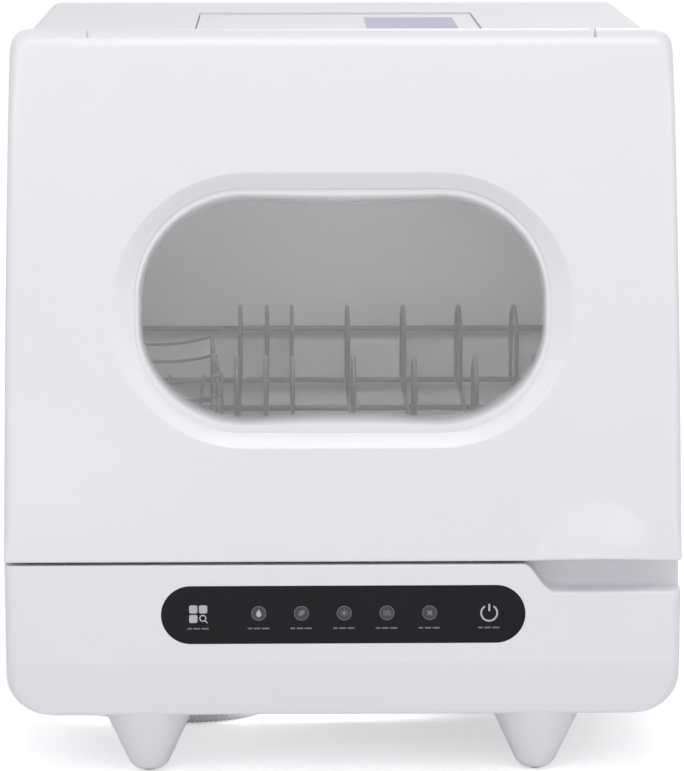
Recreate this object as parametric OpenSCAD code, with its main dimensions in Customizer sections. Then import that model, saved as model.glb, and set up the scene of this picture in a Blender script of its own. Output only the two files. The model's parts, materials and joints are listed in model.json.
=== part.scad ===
// Countertop dishwasher with a flip-up door, built from separate pieces.
// Millimetres. X to the right, Y to the back, Z up; the origin is on the floor under the middle.

/* [Body] */
// Width of the machine at the door seam
body_w = 420; // [400:5:440]
// Depth of the casing, from the base front to the rear cover
body_d = 410; // [400:5:430]
// Height of the door crest above the floor
crest_h = 466.5; // [460:0.5:490]
// Drop from the door crest to the top of the casing
top_drop = 8.5; // [7:0.5:11]
// Height of the seam between the base and the door
seam_h = 141.5; // [138:0.5:146]
// Height of the underside of the base above the floor
under_h = 43; // [40:1:48]
// Width lost on each side between the seam and the crest
side_taper = 5; // [0:0.5:8]
// Thickness of the moulded walls
wall = 3; // [2.4:0.1:3.6]
// Radius of the lower side corners of the base
base_corner_r = 26; // [16:1:30]
// Height of the crease on the front of the base
crease_h = 78; // [70:1:88]
// Set-back of the front of the base at its lower edge
tuck = 6; // [2:1:12]
// Radius of the upper side edges
top_edge_r = 11; // [6:1:14]

/* [Feet] */
// Distance of a foot's axis from the middle of the machine
foot_x = 122.5; // [110:0.5:130]
// Distance of a foot's axis from the front or back of the machine
foot_y = 36; // [32:1:44]
// Radius of a foot where it leaves the base
foot_r = 28.5; // [24:0.5:32]
// Radius of a foot at the floor
foot_tip_r = 11; // [9:0.5:14]

/* [Door] */
// Distance of the hinge axis behind the front of the base
hinge_back = 66; // [60:1:76]
// Radius of the rolled crest around the hinge axis
crest_r = 15; // [13:0.5:17]
// Lean of the door face at the seam, in degrees
face_start = 2; // [0:0.5:4]
// Thickness of the door at the seam
door_t = 32; // [30:1:36]
// Gap below the door
door_gap = 2; // [1.5:0.5:3]
// Thickness of the door skin and liner
skin = 2.5; // [2:0.1:3]
// Width of the grip lip
lip_w = 72; // [60:2:80]
// Reach of the grip lip in front of the base
lip_out = 10; // [6:1:12]
// Distance of the grip lip from the middle of the machine
lip_x = 161; // [150:1:166]

/* [Window] */
// Width of the clear glass
glass_w = 257; // [230:1:270]
// Height of the clear glass
glass_h = 152; // [130:1:156]
// Corner radius of the clear glass
glass_r = 67; // [50:1:76]
// Width of the bevel beside the glass
bevel_w = 15; // [10:1:16]
// Height of the bevel above and below the glass
bevel_h = 9.5; // [7:0.5:12]
// Depth of the glass below the door face
bevel_d = 7; // [5:0.5:8]
// Thickness of the glass
glass_t = 4; // [3:0.5:5]
// Height of the middle of the window above the floor
window_z = 297.5; // [292:0.5:302]

/* [Hinges] */
// Distance of a hinge leaf from the middle of the machine
leaf_x = 156; // [150:1:160]
// Thickness of a hinge leaf
leaf_t = 2.5; // [2:0.5:3]
// Half height of a hinge leaf
leaf_r = 7; // [6:0.5:8]
// Radius of a hinge pin
pin_r = 2.5; // [2:0.5:3]
// Length of a hinge pin
pin_len = 26; // [22:2:32]
// Gap of a pin in its hole
run_gap = 0.06; // [0.03:0.01:0.09]

/* [Base front] */
// Width of the control panel
panel_w = 226; // [200:2:226]
// Height of the control panel
panel_h = 37; // [30:1:38]
// Height of the middle of the control panel above the floor
panel_z = 110.7; // [108:0.1:112]
// Thickness of the control panel
panel_t = 2.4; // [2:0.1:2.4]
// Distance of the finger recess from the middle, at the seam
recess_x = 115; // [114:1:125]
// Height of the finger recess
recess_h = 18.5; // [14:0.5:19]
// Depth of the finger recess
recess_d = 18; // [12:1:20]

/* [Tub] */
// Space between the tub and each side of the machine
side_space = 34; // [32:1:40]
// Height of the tub floor
tub_floor = 158; // [156:1:160]
// Drop from the door crest to the tub ceiling
head_space = 40.5; // [39.5:0.5:46.5]
// Space behind the tub for the tank and the fan
rear_space = 80; // [78:1:84]
// Corner radius of the tub
tub_r = 20; // [12:1:30]
// Thickness of the tub wall
tub_wall = 2; // [1.5:0.5:2.5]
// Thickness of the gasket
gasket_t = 4.4; // [4:0.1:4.6]

/* [Rack] */
// Gap between the rack and each side of the tub
rack_gap = 13; // [13:1:18]
// Height of the rack floor
rack_z = 198; // [196:1:202]
// Height of the tines above the rack floor
tine_h = 59; // [50:1:64]
// Height of the rear rim above the rack floor
rim_h = 37; // [30:1:42]
// Height of the front rim above the rack floor
front_rim_h = 12; // [10:1:16]
// Depth of the rack's front rim, from the front of the base
rack_front = 53; // [52:1:56]
// Gap between the rack and the back of the tub
rack_back_gap = 7; // [7:1:12]
// Radius of the thick wires
wire_r = 1.9; // [1.5:0.1:2.1]
// Radius of the thin wires
thin_r = 1.3; // [1:0.1:1.5]
// Pitch of the tines on the right
tine_pitch = 38.7; // [36:0.1:39]
// Pitch of the tines beside the basket
fine_pitch = 18.5; // [16:0.5:20]
// Room between the cutlery basket and the first tine
tine_gap = 11.5; // [9:0.5:14]
// Room between the cutlery basket and the side of the rack
basket_gap = 5.1; // [4:0.1:8]
// Length of the cutlery basket, front to back
basket_l = 145; // [120:5:150]
// Width of the cutlery basket
basket_w = 78; // [70:1:78]
// Height of the cutlery basket
basket_h = 46; // [40:1:56]

/* [Wash system] */
// Radius swept by the lower spray arm
lower_arm_r = 132; // [110:1:134]
// Radius swept by the upper spray arm
upper_arm_r = 114; // [100:1:116]
// Radius of the sump
sump_r = 85; // [80:1:88]
// Depth of the sump below the tub floor
sump_d = 60; // [50:1:64]
// Radius of the filter cup
filter_r = 29; // [24:1:30]
// Radius of the wash pump's impeller
impeller_r = 24; // [20:1:26]
// Radius of the wash motor
motor_r = 30; // [26:1:33]
// Radius of the drain pump
drain_r = 21; // [18:1:23]

/* [Filling and drying] */
// Width of the fill lid
lid_w = 186; // [160:2:190]
// Length of the fill lid, front to back
lid_l = 146; // [130:2:150]
// Thickness of the fill lid
lid_t = 2.5; // [2:0.1:3]
// Depth of the fill lid below the top
lid_drop = 1.2; // [0.8:0.1:1.6]
// Drop from the tub ceiling to the top of the water tank
tank_drop = 4.5; // [3:0.5:40]
// Radius of the drying fan
fan_r = 30; // [26:1:31]
// Reach of the water spigot behind the casing
spigot_out = 10; // [8:1:12]
// Radius of the water spigot
spigot_r = 13.2; // [12:0.1:14]

/* [Drain hose] */
// Outer diameter of the drain hose
hose_d = 13; // [12:0.5:13]

/* [Hidden] */
$fn = 64;

half_w = body_w / 2;
front_y = -body_d / 2;
rear_y = body_d / 2;
top_z = crest_h - top_drop;
hinge_y = front_y + hinge_back;
hinge_z = crest_h - crest_r;
taper_t = side_taper / (crest_h - seam_h);
tub_w = body_w - 2 * side_space;
tub_top = crest_h - head_space;
tub_back = body_d - rear_space;
rack_w = tub_w - 2 * rack_gap;
rack_back = tub_back - rack_back_gap;
seat = 0.3;            // clearance between pieces that only rest on each other
far = 900;             // longer than anything on the machine

// The face is an arc that starts at the seam with its lean and runs tangent into the crest.
face_dz = hinge_z - seam_h;
face_r = (face_dz * face_dz + hinge_back * hinge_back - crest_r * crest_r)
    / (2 * (hinge_back * cos(face_start) - face_dz * sin(face_start) - crest_r));
face_cy = front_y + face_r * cos(face_start);
face_cz = seam_h - face_r * sin(face_start);

// The mouth plane runs from the back of the door at the seam up to the hinge axis.
mouth_a = atan((hinge_back - door_t) / face_dz);
function mouth_y(z) = front_y + door_t + (z - seam_h) * tan(mouth_a);
function mouth_w(z) = (z - seam_h) / cos(mouth_a);
function half_at(z) = half_w - (z - seam_h) * taper_t;

// Middle of the window on the face, and the lean of the face there
window_a = asin((window_z - face_cz) / face_r);
window_y = face_cy - face_r * cos(window_a);

steel = [0.72, 0.73, 0.75];
white = [0.93, 0.93, 0.94];
grey = [0.66, 0.66, 0.67];
dark = [0.13, 0.13, 0.14];

// Places a drawing in the plane of the tub's mouth: x across, y backwards, z up the slope
module at_mouth() {
    translate([0, front_y + door_t, seam_h]) rotate([-mouth_a, 0, 0]) children();
}

// Places a drawing at the middle of the window: x across, y inwards, z up the face
module at_window() {
    translate([0, window_y, window_z]) rotate([-window_a, 0, 0]) children();
}

// Extrudes a side view (back, up) along X between x0 and x1
module side_slab(x0, x1) {
    translate([x0, 0, 0]) rotate([90, 0, 90]) linear_extrude(x1 - x0) children();
}

// Extrudes a front view (right, up) along Y between y0 and y1
module front_slab(y0, y1) {
    translate([0, y1, 0]) rotate([90, 0, 0]) linear_extrude(y1 - y0) children();
}

// A flat rectangle with round corners, centred
module round_rect(w, h, r) {
    square([w - 2 * r, h], center = true);
    if (h > 2 * r) square([w, h - 2 * r], center = true);
    for (sx = [-1, 1], sy = [-1, 1])
        translate([sx * (w / 2 - r), sy * (h / 2 - r)]) circle(r);
}

// The front view of the upper body: a trapezoid with round upper corners
module upper_outline(z0, z1, r, inset) {
    corner_z = z1 - inset - r;
    corner_x = half_at(corner_z) - inset - r;
    polygon([[-half_at(z0) + inset, z0], [half_at(z0) - inset, z0], [half_at(corner_z) - inset, corner_z],
             [corner_x, z1 - inset], [-corner_x, z1 - inset], [-half_at(corner_z) + inset, corner_z]]);
    for (s = [-1, 1]) translate([s * corner_x, corner_z]) circle(r);
}

// A pipe of round rods with a ball at every corner
module pipe(points, r) {
    for (i = [0 : len(points) - 2]) {
        run = points[i + 1] - points[i];
        turn = acos(run[2] / norm(run));
        translate(points[i]) rotate([0, turn, atan2(run[1], run[0])])
            cylinder(h = norm(run), r = r, $fn = 24);
    }
    for (i = [1 : 1 : len(points) - 2]) translate(points[i]) sphere(r, $fn = 24);
}

// A hollow pipe: an outer pipe less a bore that runs out of both ends
module tube_pipe(points, r, wall_t) {
    last = len(points) - 1;
    head = points[0] - points[1];
    tail = points[last] - points[last - 1];
    longer = [for (i = [0 : last]) i == 0 ? points[0] + head / norm(head)
        : i == last ? points[last] + tail / norm(tail) : points[i]];
    difference() {
        pipe(points, r);
        pipe(longer, r - wall_t);
    }
}

// ---- Base ----

// Front view of the base: straight sides with round lower corners
module base_front_view(inset) {
    r = base_corner_r;
    w = half_w - inset;
    z0 = under_h + inset;
    translate([-w, z0 + r]) square([2 * w, seam_h - z0 - r]);
    translate([-w + r, z0]) square([2 * w - 2 * r, r + 1]);
    for (s = [-1, 1]) translate([s * (w - r), z0 + r]) circle(r);
}

// Side view of the base: upright front above the crease, tucked in below it
module base_side_view(inset) {
    polygon([[front_y + inset, seam_h], [front_y + inset, crease_h],
             [front_y + tuck + inset, under_h + inset],
             [rear_y - tuck - inset, under_h + inset], [rear_y - inset, crease_h],
             [rear_y - inset, seam_h]]);
}

module base_form(inset) {
    intersection() {
        front_slab(front_y, rear_y) base_front_view(inset);
        side_slab(-half_w, half_w) base_side_view(inset);
    }
}

// Front view of the finger recess; grow widens it for the walls around it
module recess_view(grow) {
    low = seam_h - recess_h - grow;
    r = 7 + grow;
    slope = 1.05;
    x_low = recess_x + slope * recess_h - grow * 0.4;
    polygon([[recess_x - grow * 1.4, seam_h + 1], [x_low - r * 0.25, low + r * 0.75],
             [x_low + r * 0.7, low],
             [half_w + 2, low], [half_w + 2, seam_h + 1]]);
}

deck_d = door_t + 6;                   // depth of the deck that closes the base under the door
foot_h = under_h + wall;
foot_places = [for (sx = [-1, 1], y = [front_y + foot_y, rear_y - foot_y]) [sx * foot_x, y]];

module foot_cone() {
    edge = 5;
    translate([0, 0, edge + 1]) cylinder(h = foot_h - edge - 1, r1 = foot_tip_r + 2, r2 = foot_r + 1.5);
    rotate_extrude() {
        translate([0, 1]) square([foot_tip_r + 2 - edge, edge]);
        translate([foot_tip_r + 2 - edge, edge + 1]) intersection() {
            circle(edge);
            translate([0, -edge]) square(edge);
        }
    }
}

opening_w = body_w - 100;
opening_d = body_d - 160;
rear_hole_z = 84;
spigot_x = 60 - half_w;
collar_r = spigot_r + 1.5;            // collar of the spigot, in the base's rear wall
spout_x = 86.5;
spout_z = 62;
gland_x = half_w - 60;
spout_r = 7;
gland_r = 9;
plate_screws = [for (sx = [-1, 1], sy = [-1, 0, 1]) [sx * (opening_w / 2 + 8), sy * (opening_d / 2 - 25)]];

module base_shell() {
    color(white) difference() {
        union() {
            difference() {
                base_form(0);
                base_form(wall);
                translate([-half_w, front_y - 1, seam_h - 0.01]) cube([body_w, body_d + 2, 1]);
            }
            intersection() {
                base_form(0);
                front_slab(front_y, front_y + recess_d + wall) recess_view(wall);
            }
            intersection() {
                base_form(0);
                translate([-half_w, front_y, seam_h - wall]) cube([body_w, deck_d, wall]);
            }
            for (p = foot_places) translate([p[0], p[1], 0]) foot_cone();
            intersection() {
                base_form(0);
                translate([-panel_w / 2 - 4, front_y, panel_z - panel_h / 2 - 4])
                    cube([panel_w + 8, panel_t + wall, panel_h + 8]);
            }
        }
        front_slab(front_y - 1, front_y + recess_d) recess_view(0);
        front_slab(front_y - 1, front_y + panel_t) translate([0, panel_z])
            round_rect(panel_w, panel_h, panel_h / 2);
        front_slab(front_y, front_y + panel_t + wall + 1)
            translate([0, panel_z]) round_rect(panel_w - 12, panel_h - 12, panel_h / 2 - 6);
        translate([-opening_w / 2, -opening_d / 2, under_h - 1]) cube([opening_w, opening_d, wall + 2]);
        for (p = plate_screws) translate([p[0], p[1], under_h - 1]) cylinder(h = wall + 2, r = 2);
        translate([spigot_x, rear_y - 9, rear_hole_z]) rotate([-90, 0, 0])
            cylinder(h = 20, r = collar_r + seat);
        translate([gland_x, rear_y - 9, rear_hole_z]) rotate([-90, 0, 0])
            cylinder(h = 20, r = gland_r + seat);
        translate([spout_x, rear_y - 12, spout_z]) rotate([-90, 0, 0]) cylinder(h = 20, r = spout_r + seat);
    }
}

module foot_pads() {
    color(dark) for (p = foot_places) translate([p[0], p[1], 0]) cylinder(h = 1, r = foot_tip_r - 3);
}

plate_z = under_h + wall;
plate_top = plate_z + 1.2;

module floor_plate() {
    color(steel) difference() {
        translate([-opening_w / 2 - 16, -opening_d / 2 - 12, plate_z])
            cube([opening_w + 32, opening_d + 24, 1.2]);
        for (p = plate_screws) translate([p[0], p[1], plate_z - 1]) cylinder(h = 4, r = 2);
        for (ix = [-5 : 5], iy = [-2 : 2])
            translate([ix * 22 - 3, iy * 30 - 10, plate_z - 1]) cube([6, 20, 4]);
    }
}

module floor_screws() {
    color(steel) for (p = plate_screws) translate([p[0], p[1], 0]) {
        translate([0, 0, under_h - 2]) cylinder(h = 2, r = 3.6);
        translate([0, 0, under_h - 1]) cylinder(h = wall + 6, r = 2 - run_gap);
    }
}

module control_panel() {
    color(dark) front_slab(front_y - 0.2, front_y + panel_t)
        translate([0, panel_z]) round_rect(panel_w - 0.6, panel_h - 0.6, panel_h / 2 - 0.3);
}

key_x = [-88, -52.5, -26, 0.5, 27, 53.5, 91];

module control_board() {
    board_y = front_y + panel_t + wall + 6;
    color("darkgreen") translate([-100, board_y, panel_z - 13]) cube([200, 1.6, 26]);
    color(dark) for (x = key_x) {
        translate([x, front_y + panel_t, panel_z]) rotate([-90, 0, 0])
            cylinder(h = board_y - front_y - panel_t, r = 5);
    }
    color(grey) translate([60, board_y + 1.6, panel_z - 8]) cube([22, 8, 16]);
    color(grey) translate([-30, board_y + 1.6, panel_z - 6]) cube([14, 2, 14]);
}

// ---- Casing ----

lid_back = 313;                        // the back edge of the fill lid, from the front of the base
lid_y1 = front_y + lid_back;
lid_y0 = lid_y1 - lid_l;
well_w = lid_w + 1.6;

module casing() {
    color(white) difference() {
        front_slab(front_y, rear_y) difference() {
            upper_outline(seam_h, top_z, top_edge_r, 0);
            upper_outline(seam_h - 1, top_z, top_edge_r - wall, wall);
        }
        at_mouth() translate([-far / 2, -far, -50]) cube([far, far + 1, far]);
        side_slab(-half_w, half_w) translate([hinge_y, hinge_z]) circle(crest_r + 0.8);
        translate([-well_w / 2, lid_y0 - 0.8, top_z - wall - 1])
            cube([well_w, lid_pin_y + lid_swing - lid_y0 + 0.8, wall + 2]);
    }
}

fan_x = half_w - fan_r - 20;
fan_z = tub_top - fan_r - 26;
corner_screws = [for (sx = [-1, 1], z = [seam_h + 14, top_z - 24]) [sx * (half_at(z) - 14), z]];

module rear_cover() {
    color(white) difference() {
        front_slab(rear_y - wall, rear_y)
            upper_outline(seam_h + seat, top_z, top_edge_r - wall, wall + seat);
        for (i = [-5 : 5]) {
            half = sqrt((fan_r + 4) * (fan_r + 4) - 36 * i * i * 0.9);
            translate([fan_x - half * 0.9, rear_y - wall - 1, fan_z + i * 6 - 1.5])
                cube([half * 1.8, wall + 2, 3]);
        }
        for (i = [0 : 9]) translate([-150 + i * 12, rear_y - wall - 1, seam_h + 12])
            cube([4, wall + 2, 40]);
        for (p = corner_screws)
            translate([p[0], rear_y - wall - 1, p[1]]) rotate([-90, 0, 0]) cylinder(h = wall + 2, r = 2);
    }
}

module rear_screws() {
    color(steel) for (p = corner_screws) translate([p[0], rear_y, p[1]]) rotate([90, 0, 0]) {
        translate([0, 0, -2]) cylinder(h = 2, r = 3.6);
        translate([0, 0, -1]) cylinder(h = 11, r = 2 - run_gap);
    }
}

lid_z = top_z - lid_drop;
lid_pin_r = 1.5;
lid_pin_y = lid_y1 - 2.5;
lid_pin_z = lid_z - 4.5;
lid_swing = 5.2;                       // room behind the lid's pin for its back edge to turn

module fill_lid() {
    color(white) difference() {
        union() {
            translate([-lid_w / 2, lid_y0, lid_z - lid_t]) cube([lid_w, lid_l, lid_t]);
            for (s = [-1, 1]) translate([s * 86 - 6, lid_pin_y, lid_pin_z]) rotate([0, 90, 0])
                cylinder(h = 12, r = 3.4);
            for (s = [-1, 1]) translate([s * 86 - 6, lid_pin_y - 3.4, lid_pin_z]) cube([12, 5.9, 3]);
        }
        translate([-100, lid_pin_y, lid_pin_z]) rotate([0, 90, 0])
            cylinder(h = 200, r = lid_pin_r + run_gap);
        translate([0, lid_y0, lid_z + 9]) rotate([0, 90, 0]) translate([0, 0, -18])
            cylinder(h = 36, r = 10);
    }
}

module lid_pin() {
    color(steel) translate([-lid_w / 2 - 5, lid_pin_y, lid_pin_z]) rotate([0, 90, 0])
        cylinder(h = lid_w + 10, r = lid_pin_r);
}

label_x = 49;
label_w = 60;
label_l = 104;

module lid_label() {
    color([0.78, 0.76, 0.87]) translate([label_x - label_w / 2, lid_y1 - 31 - label_l, lid_z])
        cube([label_w, label_l, 0.3]);
}

// The tray under the lid: a dish with a ledge for the lid, ears for its pin and a neck down to the tank
tray_w = lid_w - 16;
tray_y0 = lid_y0 + 10;
tray_y1 = front_y + tub_back + 34;
tray_z = tub_top + tub_wall + 13;
ledge_z = lid_z - lid_t - seat;
rim_z = top_z - wall - seat;
ear_x = well_w / 2 + 1;
neck_x = 50;
neck_y = front_y + tub_back + 21;
neck_r = 12;
fan_wall_y = front_y + tub_back + tub_wall;
tank_y0 = fan_wall_y + 4;
tank_y1 = rear_y - wall - 4;
tank_z0 = seam_h + 16;
tank_h = tub_top - tank_drop - tank_z0;
tank_x0 = 60 - half_w;
tank_w = fan_x - fan_r - 24 - tank_x0;
tank_x = tank_x0 + tank_w / 2;
tank_top = tank_z0 + tank_h;

module fill_funnel() {
    color(white) difference() {
        union() {
            translate([-tray_w / 2, tray_y0, tray_z]) cube([tray_w, tray_y1 - tray_y0, ledge_z - tray_z]);
            translate([-ear_x - 5, lid_y0 - 8, ledge_z - 3])
                cube([2 * ear_x + 10, lid_pin_y - lid_y0 + 3, 3]);
            translate([-ear_x - 5, lid_y0 - 8, ledge_z - 3]) cube([2 * ear_x + 10, 6, rim_z - ledge_z + 3]);
            for (s = [-1, 1]) translate([s * (ear_x + 2.5) - 2.5, lid_pin_y - 6, lid_pin_z - 5])
                cube([5, 11, rim_z - lid_pin_z + 4.8]);
            translate([neck_x, neck_y, tank_top - 8]) cylinder(h = tray_z - tank_top + 9, r = neck_r);
        }
        translate([-tray_w / 2 + 2, tray_y0 + 2, tray_z + 2])
            cube([tray_w - 4, tray_y1 - tray_y0 - 4, far]);
        translate([neck_x, neck_y, tank_top - 9]) cylinder(h = 60, r = neck_r - 2);
        translate([-well_w / 2, lid_pin_y, lid_pin_z]) rotate([0, 90, 0])
            cylinder(h = well_w, r = lid_swing + run_gap);
        translate([-far / 2, lid_pin_y, lid_pin_z]) rotate([0, 90, 0])
            cylinder(h = far, r = lid_pin_r + run_gap);
    }
}

// ---- Door ----

door_low = seam_h + door_gap;
liner_top = hinge_z - crest_r - 0.5;
liner_gap = 1;                         // room between the door and the mouth plane
lip_r = (lip_w * lip_w / 4 + lip_out * lip_out) / (2 * lip_out);

// Side view of the door, set in from its skin by inset
module door_side_view(inset, back) {
    from_centre = [hinge_y - face_cy, hinge_z - face_cz];
    reach = from_centre / norm(from_centre) * (crest_r + 20);
    low = door_low + inset;
    intersection() {
        translate([face_cy, face_cz]) circle(face_r - inset, $fn = 720);
        polygon([[hinge_y - inset - 0.5, hinge_z], [hinge_y, hinge_z] + reach, [front_y - 60, hinge_z + 60],
                 [front_y - 60, low], [mouth_y(low) - back, low],
                 [mouth_y(liner_top) - back, liner_top], [hinge_y - inset - 0.5, liner_top]]);
    }
    translate([hinge_y, hinge_z]) circle(crest_r - inset);
}

module door_form(inset, back) {
    intersection() {
        side_slab(-half_w, half_w) door_side_view(inset, back);
        front_slab(front_y - 30, rear_y)
            upper_outline(seam_h, crest_h, top_edge_r - inset / 2, inset == 0 ? 0 : wall);
    }
}

// A round rectangle pushed through the face at the window, from depth y0 to y1
module window_prism(w, h, r, y0, y1) {
    at_window() translate([0, y1, 0]) rotate([90, 0, 0]) linear_extrude(y1 - y0) round_rect(w, h, r);
}

// Everything deeper than the given distance below the face
module below_face(depth) {
    side_slab(-half_w, half_w) translate([face_cy, face_cz]) circle(face_r - depth, $fn = 720);
}

glass_front = bevel_d + 1.5;
glass_edge = 5;
seal_t = 3;

// Slot in the crest for a leaf that turns from behind, over the top
module leaf_slot() {
    circle(leaf_r + 4);
    intersection() {
        circle(crest_r + 3);
        polygon([for (a = [-56 : 31 : 130]) 40 * [cos(a), sin(a)], [0, 0]]);
    }
}

module door_outer() {
    color(white) difference() {
        union() {
            difference() {
                door_form(0, liner_gap);
                door_form(skin, -5);
            }
            intersection() {
                door_form(0, liner_gap);
                window_prism(glass_w + 2 * bevel_w + 6, glass_h + 2 * bevel_h + 6, glass_h / 2 + bevel_h,
                    -8, 14);
            }
            for (s = [-1, 1]) translate([s * leaf_x - 15, hinge_y, hinge_z]) rotate([0, 90, 0])
                cylinder(h = 30, r = crest_r - skin + 0.5);
            intersection() {
                translate([lip_x, front_y - lip_out + lip_r, seam_h]) sphere(lip_r, $fn = 180);
                translate([lip_x - lip_w, front_y - 30, door_low]) cube([2 * lip_w, 38, lip_w]);
                front_slab(front_y - 30, rear_y) upper_outline(seam_h, crest_h, top_edge_r, 0);
            }
        }
        hull() {
            window_prism(glass_w + 2 * bevel_w, glass_h + 2 * bevel_h, glass_h / 2 + bevel_h - 1, -20, 1);
            window_prism(glass_w - 1, glass_h - 1, glass_r - 0.5, bevel_d + 2, bevel_d + 2.1);
        }
        window_prism(glass_w, glass_h, glass_r, -20, 60);
        intersection() {
            window_prism(glass_w + 2 * glass_edge, glass_h + 2 * glass_edge, glass_r + glass_edge, -8, 60);
            below_face(glass_front);
        }
        for (s = [-1, 1]) {
            side_slab(s * leaf_x - leaf_t / 2 - 0.8, s * leaf_x + leaf_t / 2 + 0.8)
                translate([hinge_y, hinge_z]) leaf_slot();
            translate([s * leaf_x - pin_len / 2, hinge_y, hinge_z]) rotate([0, 90, 0])
                cylinder(h = pin_len, r = pin_r + run_gap);
        }
    }
}

module door_inner() {
    tunnel_w = glass_w - 4;
    tunnel_h = glass_h - 4;
    color(white) difference() {
        union() {
            intersection() {
                side_slab(-half_w, half_w) polygon([
                    [mouth_y(door_low + skin + seat) - liner_gap - skin, door_low + skin + seat],
                    [mouth_y(door_low + skin + seat) - liner_gap, door_low + skin + seat],
                    [mouth_y(liner_top - 1) - liner_gap, liner_top - 1],
                    [mouth_y(liner_top - 1) - liner_gap - skin, liner_top - 1]]);
                front_slab(front_y, rear_y) upper_outline(seam_h, crest_h, top_edge_r, wall + seat);
            }
            intersection() {
                window_prism(tunnel_w + 2 * skin, tunnel_h + 2 * skin, glass_r, 0, 60);
                below_face(glass_front + glass_t + seal_t);
                side_slab(-half_w, half_w) polygon([[front_y, seam_h],
                [mouth_y(seam_h) - liner_gap, seam_h],
                    [mouth_y(crest_h) - liner_gap, crest_h], [front_y, crest_h]]);
            }
        }
        window_prism(tunnel_w, tunnel_h, glass_r - 2, -10, 80);
    }
}

module window_glass() {
    color([0.5, 0.52, 0.54, 0.4]) difference() {
        intersection() {
            window_prism(glass_w + 2 * glass_edge - 0.6, glass_h + 2 * glass_edge - 0.6,
                glass_r + glass_edge - 0.3,
                -8, 40);
            below_face(glass_front);
        }
        below_face(glass_front + glass_t);
    }
}

module window_seal() {
    color(dark) difference() {
        intersection() {
            window_prism(glass_w + 2 * glass_edge - 0.6, glass_h + 2 * glass_edge - 0.6,
                glass_r + glass_edge - 0.3,
                -8, 40);
            below_face(glass_front + glass_t);
        }
        below_face(glass_front + glass_t + seal_t);
        window_prism(glass_w - 2, glass_h - 2, glass_r - 1, -10, 60);
    }
}

leaf_drop = 20;                        // degrees that a leaf slopes down behind the hinge
leaf_l = 48;                           // length of a leaf, from the pin to its foot
foot_y0 = hinge_y + 34;
tub_lid_z = tub_top + tub_wall;

module hinge_leaves() {
    color(steel) for (s = [-1, 1]) difference() {
        union() {
            side_slab(s * leaf_x - leaf_t / 2, s * leaf_x + leaf_t / 2) {
                translate([hinge_y, hinge_z]) {
                    circle(leaf_r);
                    rotate(-leaf_drop) translate([0, 0.5 - leaf_r]) square([leaf_l, 2 * leaf_r - 1]);
                }
                translate([foot_y0, tub_lid_z + 1]) square([20, 7]);
            }
            translate([s * leaf_x - 13, foot_y0, tub_lid_z]) cube([26, 30, 2]);
        }
        translate([s * leaf_x - 5, hinge_y, hinge_z]) rotate([0, 90, 0])
            cylinder(h = 10, r = pin_r + run_gap);
    }
}

module hinge_pins() {
    color(steel) for (s = [-1, 1]) translate([s * leaf_x - pin_len / 2, hinge_y, hinge_z])
        rotate([0, 90, 0])
        cylinder(h = pin_len, r = pin_r);
}

catch_w = 8;                           // height of the catch up the mouth plane

module strike_plate() {
    color(steel) at_mouth() translate([-14, -liner_gap * cos(mouth_a), catch_w - 4]) cube([28, 1.2, 8]);
}

module magnet_catch() {
    color(dark) at_mouth() translate([-16, 1.2, catch_w - 5]) cube([32, gasket_t + 0.6 - 1.2, 10]);
}

// ---- Tub ----

flange_v = gasket_t + 0.6;
flange_t = 2.5;
mouth_low = mouth_w(tub_floor);
mouth_high = mouth_w(tub_top);
sump_x = 38;
sump_y = front_y + 155;
arm_y = front_y + 190;

module tub_front_view(grow) {
    translate([0, (tub_floor + tub_top) / 2])
        round_rect(tub_w + 2 * grow, tub_top - tub_floor + 2 * grow, tub_r + grow);
}

module behind_mouth(v) {
    at_mouth() translate([-far / 2, v, -far / 2]) cube([far, far, far]);
}

module flange_view(grow_x, low, high) {
    translate([0, (low + high) / 2]) round_rect(tub_w + 2 * grow_x, high - low, 6);
}

module tub() {
    color(grey) difference() {
        union() {
            intersection() {
                front_slab(front_y, front_y + tub_back + tub_wall) tub_front_view(tub_wall);
                behind_mouth(flange_v);
            }
            at_mouth() translate([0, flange_v + flange_t, 0]) rotate([90, 0, 0]) linear_extrude(flange_t)
                flange_view(19, 3, mouth_high + 5);
        }
        front_slab(front_y - 1, front_y + tub_back) tub_front_view(0);
        translate([sump_x, sump_y, tub_floor - 20]) cylinder(h = 40, r = sump_r - 4);
        translate([0, arm_y, tub_top - 1]) cylinder(h = 20, r = 9 + seat);
        translate([fan_x - 16, front_y + tub_back - 1, fan_z]) rotate([-90, 0, 0]) cylinder(h = 20, r = 12);
        translate([float_x, float_y, tub_floor - 5]) cylinder(h = 10, r = 3.1);
    }
}

module tub_gasket() {
    color(grey) at_mouth() translate([0, flange_v, 0]) rotate([90, 0, 0])
        linear_extrude(flange_v + liner_gap - seat)
        difference() {
            translate([0, (mouth_low + mouth_high) / 2])
                round_rect(tub_w + 12, mouth_high - mouth_low + 6, tub_r + 4);
            translate([0, (mouth_low + mouth_high) / 2])
                round_rect(tub_w, mouth_high - mouth_low, tub_r);
        }
}

post_x = tub_w / 2 - 26;
post_foot_r = 12;
post_places = [for (sx = [-1, 1], y = [84, tub_back - 30]) [sx * post_x, front_y + y]];

module tub_supports() {
    color(steel) for (p = post_places) translate([p[0], p[1], 0]) difference() {
        union() {
            translate([0, 0, plate_top]) cylinder(h = tub_floor - tub_wall - plate_top, r = 7);
            translate([0, 0, plate_top]) cylinder(h = 3, r = post_foot_r);
        }
        translate([0, 0, plate_top + 3]) cylinder(h = far, r = 4);
    }
}

// ---- Spray arms ----

lower_z = tub_floor + 15;
upper_z = tub_top - 18;

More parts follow.
